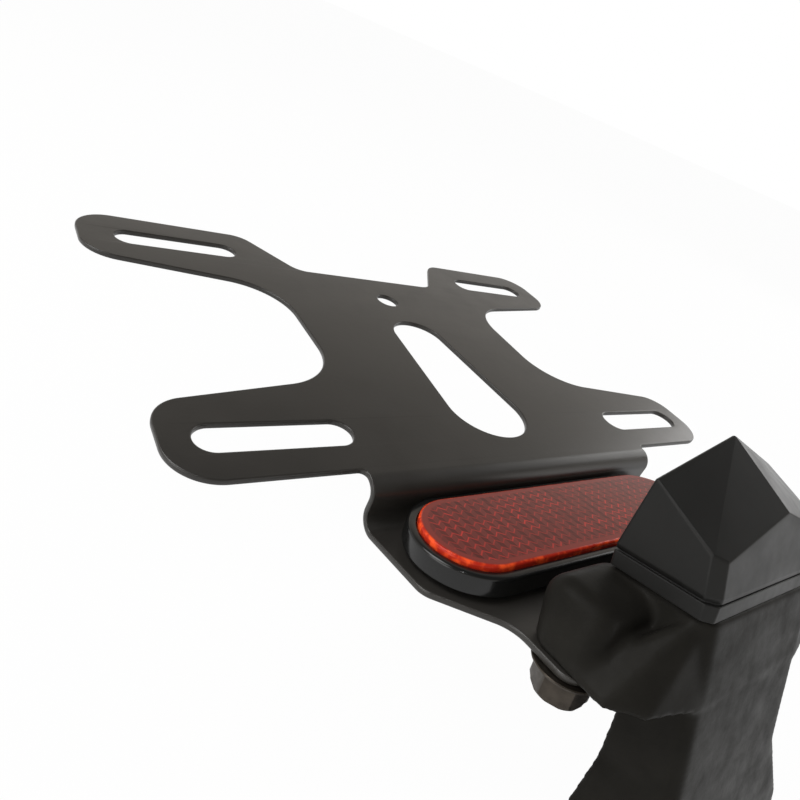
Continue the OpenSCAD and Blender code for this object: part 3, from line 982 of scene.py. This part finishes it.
# Number plate bracket
@dataclass
class PlateBracket:
    """The folded sheet: plate face with four arms, step, and tilted flange."""

    layout: Layout
    slot_across: float = 134.0
    slot_up: float = 93.0
    slot_travel: float = 28.0
    slot_w: float = 8.7
    near_slot_y: float = -8.0
    near_arm_half: float = 92.0
    far_arm_half: float = 95.3
    near_arm_depth: float = 25.5
    far_arm_depth: float = 28.0
    arm_slope: float = 11.0
    arm_r: float = 11.0
    waist_half: float = 41.3
    waist_r: float = 19.0
    end_notch: float = 22.2
    window_r_near: float = 12.9
    window_r_far: float = 9.3
    window_l: float = 37.9
    hole_y: float = 61.9
    hole_d: float = 7.5
    far_lip: float = 14.6
    notch_half: float = 42.3
    body_half: float = 28.6
    neck_half: float = 51.3
    flange_half: float = 50.3
    taper_from: float = 6.2
    taper_to: float = 19.8
    tail_half: float = 37.9
    tail_lip: float = 5.3
    bolt_x: float = 32.3
    bolt_hole_r: float = 3.3
    stud_hole_r: float = 2.8
    edge: float = 0.42
    bend_step: float = 6.0

    @property
    def fold_l(self) -> float:
        """Length of the first fold along the sheet's middle."""
        return (self.layout.fold_r + self.layout.sheet_t / 2) * math.pi / 2

    @property
    def wall_l(self) -> float:
        """Length of the flat wall between the folds."""
        return -self.layout.sheet_t - self.layout.fold_r - self.layout.fold2_centre[1]

    @property
    def fold2_turn(self) -> float:
        """Angle of the second fold, in radians."""
        return math.pi / 2 + math.radians(self.layout.flange_tilt)

    @property
    def fold2_l(self) -> float:
        """Length of the second fold along the sheet's middle."""
        return (self.layout.fold_r + self.layout.sheet_t / 2) * self.fold2_turn

    @property
    def flange_flat(self) -> float:
        """Where the flange starts on the flat sheet."""
        return self.layout.fold_y - self.fold_l - self.wall_l - self.fold2_l

    def outline(self) -> list[Point]:
        """Outline of the flat sheet before folding.

        Returns:
            The outline's points.
        """
        lay = self.layout
        rise = math.tan(math.radians(self.arm_slope))
        near_top = lay.near_edge_y + self.near_arm_depth
        far_edge = self.near_slot_y + self.slot_up + self.far_lip
        far_low = far_edge - self.far_arm_depth
        body_edge = far_edge - self.end_notch
        start = self.flange_flat
        return rounded(both_sides([
            (self.tail_half, start + lay.bolt_s - self.tail_lip, 4),
            (self.tail_half, start + lay.cup_s - self.taper_to, 9),
            (self.flange_half, start + lay.cup_s - self.taper_from, 6),
            (self.neck_half, start, 0),
            (self.neck_half, lay.near_edge_y, 1.6),
            (self.near_arm_half, lay.near_edge_y, self.arm_r),
            (self.near_arm_half, near_top - 1, self.arm_r * 0.8),
            (self.waist_half, near_top - 1 + (self.near_arm_half - self.waist_half) * rise, self.waist_r),
            (self.waist_half, far_low - (self.far_arm_half - self.waist_half) * rise * 0.87, self.waist_r),
            (self.far_arm_half, far_low + 1, self.arm_r),
            (self.far_arm_half, far_edge, self.arm_r),
            (self.notch_half, far_edge, 8),
            (self.body_half, body_edge, 7)]))

    def holes(self) -> list[list[Point]]:
        """Outlines of the slots, the tapered window and the round holes.

        Returns:
            The outline of each.
        """
        slots = [obround(self.slot_travel + self.slot_w, self.slot_w, (x * self.slot_across / 2, y))
                 for x in (-1, 1) for y in (self.near_slot_y, self.near_slot_y + self.slot_up)]
        lean = math.asin((self.window_r_near - self.window_r_far) / self.window_l)
        window = (arc((0, self.window_l), self.window_r_far, lean, math.pi - lean)
                  + arc((0, 0), self.window_r_near, math.pi - lean, 2 * math.pi + lean))
        start = self.flange_flat
        bolts = [disc(self.bolt_hole_r, (x * self.bolt_x, start + self.layout.bolt_s)) for x in (-1, 1)]
        return [*slots, window, disc(self.hole_d / 2, (0, self.hole_y)),
                disc(self.stud_hole_r, (0, start + self.layout.cup_s)), *bolts]

    def fold(self, s: float, height: float) -> Point:
        """Where a point of the flat sheet lies once folded.

        Args:
            s: its place along the flat sheet.
            height: its height above the sheet's top face, 0 or less.

        Returns:
            Its y and z in the plate's frame.
        """
        lay = self.layout
        inner, t = lay.fold_r, lay.sheet_t
        down = lay.fold_y - s
        if down <= 0:
            return s, height
        if down <= self.fold_l:
            turn = down / self.fold_l * math.pi / 2
            reach = inner + t + height
            return lay.fold_y - reach * math.sin(turn), -t - inner + reach * math.cos(turn)
        down -= self.fold_l
        if down <= self.wall_l:
            return lay.fold_y - (inner + t + height), -t - inner - down
        down -= self.wall_l
        y, z = lay.fold2_centre
        if down <= self.fold2_l:
            turn = down / self.fold2_l * self.fold2_turn
            reach = inner - height
            return y + reach * math.cos(turn), z - reach * math.sin(turn)
        down -= self.fold2_l
        tilt = math.radians(lay.flange_tilt)
        y, z = lay.flange_start
        return (y - down * math.cos(tilt) + height * math.sin(tilt),
                z + down * math.sin(tilt) + height * math.cos(tilt))

    def build(self) -> None:
        """Cuts the flat sheet, folds it and dresses it."""
        t = self.layout.sheet_t
        sheet = sheet_solid(self.outline(), self.holes(), t, self.edge)
        bends = ((self.layout.fold_y, self.fold_l, math.pi / 2),
                 (self.flange_flat + self.fold2_l, self.fold2_l, self.fold2_turn))
        for start, length, turn in bends:
            count = math.ceil(math.degrees(turn) / self.bend_step)
            for i in range(count + 1):
                everything = [*sheet.verts, *sheet.edges, *sheet.faces]
                bmesh.ops.bisect_plane(sheet, geom=everything, plane_co=(0, start - length * i / count, 0),
                                       plane_no=(0, 1, 0))
        for vert in sheet.verts:
            y, z = self.fold(vert.co.y, vert.co.z - t / 2)
            vert.co.y, vert.co.z = y, z
        add_piece("plate_bracket_sheet", sheet, self.layout.plate(), POWDER_COAT, "plate_bracket")


# Reflector
@dataclass
class Reflector:
    """The obround reflector: glossy cup, red lens, and what holds it under the flange."""

    layout: Layout
    cup_l: float = 97.9
    cup_w: float = 28.9
    cup_h: float = 6.1
    rim_w: float = 2.3
    rim_r: float = 0.75
    draft: float = 0.12
    lens_r: float = 0.7
    proud: float = 1.2
    floor: float = 2.6
    foot_h: float = 1.4
    foot_in: float = 2.6
    seat_gap: float = 0.15
    head_r: float = 5.5
    head_t: float = 1.4
    washer_r: float = 5.5
    washer_t: float = 1.0
    nut_af: float = 8.0
    nut_h: float = 5.0
    collar_h: float = 1.6
    stud_r: float = 2.5
    pitch: float = 0.8

    def place(self) -> Matrix:
        """Frame of the reflector's underside on the flange."""
        return self.layout.flange() @ Matrix.Translation((0, self.layout.cup_s, 0))

    def cup(self) -> None:
        """Builds the black cup with its rounded rim."""
        top, rim = self.cup_h, self.rim_w
        profile = [(self.foot_in, 0.0), (self.foot_in - 0.3, 0.15), (self.foot_in - 0.35, self.foot_h - 0.2),
                   (0.5, self.foot_h), (0.15, self.foot_h + 0.15), (0.0, self.foot_h + 0.5),
                   (self.draft, top - 1.3)]
        profile += [(self.draft + self.rim_r * (1 - math.cos(a)), top - self.rim_r * (1 - math.sin(a)))
                    for a in map(math.radians, range(0, 81, 20))]
        profile += [(rim - 0.5, top), (rim - 0.15, top - 0.12), (rim, top - 0.45), (rim, self.floor)]
        outline = obround(self.cup_l, self.cup_w, step=0.8)
        add_piece("reflector_housing", swept_ring(outline, profile), self.place(), CUP_GLOSS, "reflector_cup",
                  40)

    def lens(self) -> None:
        """Builds the red lens with its rounded top edge."""
        gap = self.rim_w + self.seat_gap
        top = self.cup_h + self.proud
        profile = [(gap, self.floor), (gap, top - self.lens_r)]
        profile += [(gap + self.lens_r * (1 - math.cos(a)), top - self.lens_r * (1 - math.sin(a)))
                    for a in map(math.radians, range(15, 91, 15))]
        outline = obround(self.cup_l, self.cup_w, step=0.8)
        finish = PrismFinish(self.place(), (self.cup_l - self.cup_w) / 2, self.cup_w / 2 - gap)
        add_piece("reflector_face", swept_ring(outline, profile), self.place(), finish, "reflector_lens", 40)

    def hardware(self) -> None:
        """Builds the stud, the washer and the nut under the flange."""
        under = -self.layout.sheet_t
        nut_low = under - self.washer_t - self.nut_h
        head_top = self.floor + self.head_t
        head = [(0, head_top), (self.head_r - 0.6, head_top), (self.head_r, head_top - 0.5),
                (self.head_r, self.floor)]
        shank = thread_profile(self.stud_r, nut_low - 2, under, self.pitch)[:-2]
        stud = lathe(shank + [(self.stud_r, under), (self.stud_r, self.floor)] + head[::-1])
        add_piece("reflector_stud_threaded", stud, self.place(), ZINC, "reflector_stud", 30)
        bore, low = self.stud_r + 0.15, under - self.washer_t
        washer = lathe([(bore, low), (self.washer_r - 0.15, low), (self.washer_r, low + 0.15),
                        (self.washer_r, under), (bore, under)])
        add_piece("reflector_washer_flat", washer, self.place(), ZINC, "reflector_washer", 30)
        bore, collar_top = self.stud_r + 0.02, nut_low + self.collar_h
        collar = lathe([(bore, nut_low), (3.1, nut_low), (3.55, nut_low + 0.35), (3.6, collar_top),
                        (bore, collar_top)])
        hexagon = hexagon_prism(self.nut_af, collar_top - 0.5, low, 0.35)
        nut = joined([(hexagon, Matrix()), (collar, Matrix())])
        add_piece("reflector_nut_locking", nut, self.place(), ZINC, "reflector_nut", 30)

    def build(self) -> None:
        """Builds the whole reflector."""
        self.cup()
        self.lens()
        self.hardware()


# Plate lamp
@dataclass
class PlateLamp:
    """The gabled lamp: base, seal, hood with a ridge, and the window that faces the plate."""

    layout: Layout
    peak_from: float = 16.9
    peak_push: float = 0.14
    eave_drop: float = 1.5
    base_edge: float = 0.35
    pane_edge: float = 0.25
    corner_from: Corner = (12.0, -4.0, 5.0)
    corner_over: Corner = (7.0, 3.0, 5.0)
    corner_top: float = 14.0
    corner_fade: float = 2.0

    def peaked(self, point: Vector) -> Vector:
        """Pushes the roof's far end out and its near corners down, to where the photograph has them.

        Args:
            point: a point of the hood, in metres.

        Returns:
            Where it goes.
        """
        frame_mm = Matrix.Scale(MM, 4) @ self.layout.lamp()
        local = frame_mm.inverted() @ point
        (x, y, z), (over_x, over_y, over_z) = self.corner_from, self.corner_over
        shares = ((abs(local.x) - x) / over_x, (y - local.y) / over_y, (local.z - z) / over_z,
                  (self.corner_top - local.z) / self.corner_fade)
        local.y += max(0.0, local.z - self.peak_from) * self.peak_push
        local.z -= self.eave_drop * math.prod(min(1.0, max(0.0, share)) for share in shares)
        return frame_mm @ local

    def build(self) -> None:
        """Builds the lamp's mouldings and its clear window."""
        soften_node("lamp_base", "lamp_foot", HOOD_BLACK, self.base_edge, 3)
        soften_node("lamp_hood", "lamp_top", HOOD_BLACK, smooth_angle=50.0, shape=self.peaked)
        soften_node("lamp_pane", "lamp_window", CLEAR, self.pane_edge)


# Arm and fasteners
@dataclass(frozen=True)
class CrossScrew:
    """A pan-head screw with a cross recess, its seat at z = 0 and its thread up along +Z."""

    thread_r: float
    length: float
    head_r: float = 2.7
    head_h: float = 1.8
    recess_w: float = 0.75
    recess_l: float = 2.9
    recess_h: float = 1.1
    pitch: float = 0.9

    def solid(self) -> Solid:
        """Turns the screw and cuts its recess.

        Returns:
            The screw's mesh.
        """
        r, h = self.head_r, self.head_h
        shank = thread_profile(self.thread_r, -0.4, self.length, self.pitch)[3:]
        head = [(0.0, -h), (r * 0.45, -h), (r * 0.78, -h + 0.12), (r * 0.94, -h + 0.5), (r, -h + 1.0),
                (r, 0.0)]
        screw = lathe(head + [(self.thread_r, 0.0)] + shank, 36)
        cutter = bmesh.new()
        for turn in (0.0, math.pi / 2):
            made = bmesh.ops.create_cube(cutter, size=1.0)["verts"]
            bmesh.ops.scale(cutter, vec=(self.recess_l, self.recess_w, 2 * self.recess_h), verts=made)
            for vert in made:
                if vert.co.z > 0:
                    vert.co.x *= 0.45
            bmesh.ops.rotate(cutter, cent=(0, 0, 0), matrix=Matrix.Rotation(turn, 3, "Z"), verts=made)
            bmesh.ops.translate(cutter, vec=(0, 0, -h), verts=made)
        return difference(screw, cutter, Solver.EXACT)


@dataclass
class TailArm:
    """The moulded arm with its inserts, cover, bushes, spreader plate, grommet and screws."""

    layout: Layout
    voxel: float = 0.65
    smoothing: int = 9
    depth: float = 12.48
    root_depth: float = 26.0
    under_y: float = -16.0
    wall: float = 2.5
    bolt_x: float = 32.3
    boss_r: float = 4.4
    boss_top: float = 13.0
    boss_in: float = 25.0
    boss_out_top: float = 31.4
    boss_out_foot: float = 32.9
    boss_span_top: Point = (-1.0, 5.4)
    boss_span_foot: Point = (-1.6, 3.0)
    insert_r: float = 3.6
    insert_l: float = 5.6
    cover_screws: tuple[Point, ...] = ((0.0, -57.5), (14.0, -9.0), (-14.0, -9.0))
    lamp_screws: tuple[Point, ...] = ((-15.0, -3.9), (15.0, -3.9))

    def moulding(self) -> None:
        """Softens the arm's moulded corners, cuts the inserts' bores and dresses it."""
        flange = Matrix.Scale(MM, 4) @ self.layout.flange()
        walls = [(self.boss_wall(side), flange) for side in (-1, 1)]
        arm = (solid_of(frame["nodes"]["tail_arm"].data), Matrix())
        body = linked("part", mesh_of(joined([arm, *walls])))
        remesh = body.modifiers.new("skin", "REMESH")
        remesh.mode = "VOXEL"
        remesh.voxel_size = self.voxel * MM
        soften = body.modifiers.new("soften", "SMOOTH")
        soften.factor = 0.5
        soften.iterations = self.smoothing
        bores = joined((self.bore(side), flange) for side in (-1, 1))
        skin = difference(applied(body), bores, Solver.MANIFOLD)
        add_dressed("arm_moulding", mesh_of(skin, "arm_moulding"), MOULDED_BLACK, "tail_arm")

    def boss_wall(self, side: int) -> Solid:
        """One boss without its bore, so that a wall stays all round the insert.

        Args:
            side: -1 for the left boss, 1 for the right one.

        Returns:
            The boss, in the flange's frame.
        """
        r, bolt_s = self.boss_r, self.layout.bolt_s
        boss = bmesh.new()
        for x, y in product((self.boss_out_top, self.boss_in), self.boss_span_top):
            made = bmesh.ops.create_uvsphere(boss, u_segments=24, v_segments=12, radius=r)["verts"]
            bmesh.ops.translate(boss, vec=(side * x, bolt_s + y, self.boss_top - r), verts=made)
        for x, y in product((self.boss_out_foot, self.boss_in), self.boss_span_foot):
            for px, py in disc(r, (side * x, bolt_s + y), 0.8):
                boss.verts.new((px, py, 0.1))
        bmesh.ops.delete(boss, geom=boss.faces, context="FACES_KEEP_BOUNDARY")
        hull = bmesh.ops.convex_hull(boss, input=boss.verts)
        bmesh.ops.delete(boss, geom=[g for g in hull["geom_interior"] if isinstance(g, bmesh.types.BMVert)],
                         context="VERTS")
        return boss

    def bore(self, side: int) -> Solid:
        """The bore of one insert.

        Args:
            side: -1 for the left insert, 1 for the right one.

        Returns:
            What is cut away, in the flange's frame.
        """
        r = self.insert_r + 0.03
        bore = lathe([(0, -1), (r, -1), (r, self.insert_l), (0, self.insert_l)])
        bmesh.ops.translate(bore, vec=(side * self.bolt_x, self.layout.bolt_s, 0), verts=bore.verts)
        return bore

    def inserts(self) -> None:
        """Builds the knurled brass inserts in the bosses."""
        places = [Matrix.Translation((side * self.bolt_x, self.layout.bolt_s, 0)) for side in (-1, 1)]
        r, groove_r, high, bore_r = self.insert_r, self.insert_r - 0.3, self.insert_l, 3.0
        profile = [(bore_r, 0.35), (bore_r + 0.25, 0.05), (r - 0.2, 0.05), (r, 0.3), (r, 2.3),
                   (groove_r, 2.6), (groove_r, 3.1), (r, 3.4), (r, high - 0.3), (r - 0.2, high - 0.05),
                   (bore_r, high - 0.05)]
        pair = joined((lathe(profile, 72), place) for place in places)
        add_piece("flange_insert_pair", pair, self.layout.flange(), BRASS, "flange_inserts", 30)

    def cover_place(self) -> Matrix:
        """Frame of the cover's outer face."""
        rise = math.atan2(self.root_depth - self.depth, self.layout.arm_l + self.under_y)
        return (self.layout.arm() @ Matrix.Translation((0, self.under_y, -self.depth))
                @ Matrix.Rotation(rise, 4, "X"))

    def build(self) -> None:
        """Builds the arm and what is fixed to it."""
        self.moulding()
        self.inserts()
        soften_node("arm_cover", "arm_back_cover", COVER_BLACK, 0.3)
        soften_node("tail_bushes", "tail_bush_set", ZINC, 0.35, 3)
        soften_node("spreader_plate", "spreader_stamping", ZINC, 0.25, 3)
        soften_node("wire_grommet", "cord_grommet", SOFT_RUBBER, 0.5, 3)
        self.screws("cover_screw_set", CrossScrew(1.25, 8.0), self.cover_place(), self.cover_screws,
                    "cover_screws")
        under_top = self.layout.lamp() @ Matrix.Translation((0, 0, -self.wall))
        self.screws("lamp_screw_set", CrossScrew(1.45, 13.2), under_top, self.lamp_screws, "lamp_screws")

    def screws(self, name: str, screw: CrossScrew, face: Matrix, at: Sequence[Point], node: str) -> None:
        """Builds a set of like screws as one piece.

        Args:
            name: the piece's name.
            screw: the screw.
            face: frame of the face that the heads seat on.
            at: where each screw stands on the face.
            node: the CAD node that the set replaces.
        """
        placed = joined((screw.solid(), face @ Matrix.Translation((x, y, 0))) for x, y in at)
        add_piece(name, placed, Matrix(), ZINC, node, 30)


@dataclass
class FlangeBolts:
    """The two flanged hexagon bolts under the flange."""

    layout: Layout
    x: float = 32.3
    thread_r: float = 2.95
    flange_r: float = 7.08
    flange_h: float = 1.5
    head_af: float = 10.0
    head_h: float = 5.2
    reach: float = 7.0

    def bolt(self) -> Solid:
        """One bolt, its head's seat at z = 0 and its thread up along +Z.

        Returns:
            The bolt.
        """
        flange_r, h = self.flange_r, self.flange_h
        profile = [(0, self.reach), (self.thread_r - 0.5, self.reach), (self.thread_r, self.reach - 0.5),
                   (self.thread_r, 0), (flange_r - 0.15, 0), (flange_r, -0.2), (flange_r - 0.1, -0.55),
                   (flange_r - 0.5, -0.8), (self.head_af * 0.55, -h), (0, -h)]
        return joined([(lathe(profile, 72), Matrix()),
                       (hexagon_prism(self.head_af, -h - self.head_h, -h + 0.4, 0), Matrix())])

    def build(self) -> None:
        """Builds both bolts as one piece."""
        seat = (self.layout.bolt_s, -self.layout.sheet_t)
        pair = joined((self.bolt(), Matrix.Translation((side * self.x, *seat))) for side in (-1, 1))
        add_piece("flange_bolt_pair", pair, self.layout.flange(), DARK_STEEL, "flange_bolts", 30)


# Studio
@dataclass(frozen=True)
class SoftLamp:
    """A soft square lamp: its place in metres from the part's middle, its side in metres and its watts."""

    name: str
    at: Corner
    size: float
    power: float


@dataclass
class Studio:
    """Camera, floor, lamps and world at the photograph's viewing angle."""

    layout: Layout
    eye: Corner = (-121.3710, -98.3050, 78.4709)
    right: Corner = (0.810071, -0.468782, 0.352177)
    down: Corner = (-0.004941, -0.606081, -0.795387)
    ahead: Corner = (0.586311, 0.642580, -0.493285)
    focal_px: float = 601.0
    frame_px: float = 800.0
    floor_drop: float = 0.002
    floor_half: float = 20.0
    floor_glow: float = 0.97
    floor_colour: Colour = (0.85, 0.85, 0.84)
    sky: tuple[tuple[float, Colour], ...] = (
        (0.0, (1.0, 1.0, 1.0)), (0.20, (1.0, 1.0, 1.0)), (0.27, (0.95, 0.88, 0.78)),
        (0.46, (0.41, 0.375, 0.33)), (0.70, (0.15, 0.148, 0.145)), (1.0, (0.12, 0.12, 0.12)))
    lamps: tuple[SoftLamp, ...] = (
        SoftLamp("left_top", (-0.65, 0.35, 0.85), 0.6, 8.0),
        SoftLamp("right_window", (1.15, 0.10, 0.50), 0.7, 4.0),
        SoftLamp("right_low", (0.75, -1.0, 0.34), 0.8, 2.5),
        SoftLamp("left_low", (-1.0, -0.10, 0.22), 0.6, 3.0),
        SoftLamp("small_light", (-0.50, -0.35, 0.80), 0.05, 0.5))

    def camera(self) -> None:
        """Makes the camera that the photograph was taken from."""
        data = bpy.data.cameras.new("camera")
        data.sensor_width = 36.0
        data.lens = data.sensor_width * self.focal_px / self.frame_px
        data.clip_start = 0.005
        data.clip_end = 50.0
        camera = linked("camera", data)
        turn = Matrix((self.right, [-c for c in self.down], [-c for c in self.ahead])).transposed()
        place = (self.layout.plate() @ Vector(self.eye)) * MM
        camera.matrix_world = Matrix.Translation(place) @ turn.to_4x4()
        bpy.context.scene.camera = camera

    def floor(self) -> None:
        """Lays a plain pale floor just under the part."""
        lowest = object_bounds()[0][2]
        mesh = bpy.data.meshes.new("floor")
        half = self.floor_half
        mesh.from_pydata([(-half, -half, 0), (half, -half, 0), (half, half, 0), (-half, half, 0)], [],
                         [(0, 1, 2, 3)])
        mesh.materials.append(self._backdrop())
        floor = linked("floor", mesh)
        floor.location.z = lowest - self.floor_drop
        floor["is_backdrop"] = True

    def _backdrop(self) -> bpy.types.Material:
        """Makes the floor's material, which shows white and keeps a soft shadow.

        Returns:
            The floor's material.
        """
        mat = bpy.data.materials.new("floor_white")
        mat.use_nodes = True
        nodes = mat.node_tree.nodes
        graph = Graph(mat.node_tree)
        shader = nodes["Principled BSDF"]
        values = {"Base Color": self.floor_colour, "Roughness": 0.8, "Specular IOR Level": 0.2}
        graph.feed_all(shader, values)
        path = graph.node("LightPath").outputs
        seen = graph.math("MAXIMUM", path["Is Camera Ray"], path["Is Glossy Ray"])
        seen = graph.math("MAXIMUM", seen, path["Is Transmission Ray"])
        glow = graph.node("Emission", Color=(1, 1, 1), Strength=1.0)
        mix = graph.node("MixShader", Fac=graph.math("MULTIPLY", seen, self.floor_glow))
        graph.feed(mix.inputs[1], shader.outputs["BSDF"])
        graph.feed(mix.inputs[2], glow.outputs["Emission"])
        graph.feed(nodes["Material Output"].inputs["Surface"], mix.outputs["Shader"])
        return mat

    def world(self) -> None:
        """Sets a world that is white at the horizon and dims towards the top, as a room with windows."""
        world = bpy.data.worlds.new("studio")
        bpy.context.scene.world = world
        world.use_nodes = True
        graph = Graph(world.node_tree)
        height = graph.node("SeparateXYZ", Vector=graph.node("TexCoord").outputs["Generated"]).outputs["Z"]
        back = world.node_tree.nodes["Background"]
        graph.feed(back.inputs["Strength"], 1.0)
        graph.feed(back.inputs["Color"], graph.ramp(height, self.sky))

    def hang(self, lamp: SoftLamp) -> None:
        """Hangs one lamp that looks at the part's middle.

        Args:
            lamp: the lamp.
        """
        low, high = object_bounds()
        data = bpy.data.lights.new(lamp.name, "AREA")
        data.size = lamp.size
        data.energy = lamp.power
        made = linked(lamp.name, data)
        at = Vector(lamp.at)
        made.location = (Vector(low) + Vector(high)) / 2 + at
        made.rotation_euler = (-at).to_track_quat("-Z", "Y").to_euler()

    def build(self) -> None:
        """Sets up the whole studio."""
        self.camera()
        self.floor()
        self.world()
        for lamp in self.lamps:
            self.hang(lamp)


def dress(node: str, finish: Finish) -> None:
    """Gives a CAD node a finish in all its material slots.

    Args:
        node: the node's name.
        finish: its finish.
    """
    piece = frame["nodes"][node]
    mat = finish.material()
    if not piece.material_slots:
        piece.data.materials.append(mat)
    for slot in piece.material_slots:
        slot.material = mat
    LOG.info("%s has %s", node, finish.name)


NODE_FINISH: dict[str, Finish] = {
    "plate_bracket": POWDER_COAT,
    "reflector_cup": CUP_GLOSS,
    "reflector_stud": ZINC,
    "reflector_washer": ZINC,
    "reflector_nut": ZINC,
    "lamp_base": HOOD_BLACK,
    "lamp_seal": SOFT_RUBBER,
    "lamp_hood": HOOD_BLACK,
    "lamp_pane": CLEAR,
    "led_board": BOARD,
    "led_chips": DIODE,
    "board_screws": ZINC,
    "lamp_screws": ZINC,
    "tail_arm": MOULDED_BLACK,
    "arm_cover": COVER_BLACK,
    "cover_screws": ZINC,
    "flange_bolts": DARK_STEEL,
    "tail_bushes": ZINC,
    "spreader_plate": ZINC,
    "wire_grommet": SOFT_RUBBER,
}


def main() -> None:
    """Builds the studio and each sub-assembly in order."""
    logging.basicConfig(level=logging.INFO)
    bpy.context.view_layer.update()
    layout = Layout()
    Studio(layout).build()
    for node, finish in NODE_FINISH.items():
        dress(node, finish)
    PlateBracket(layout).build()
    Reflector(layout).build()
    PlateLamp(layout).build()
    TailArm(layout).build()
    FlangeBolts(layout).build()
    bpy.context.scene.view_settings.view_transform = "Standard"


if __name__ == "__main__":
    main()
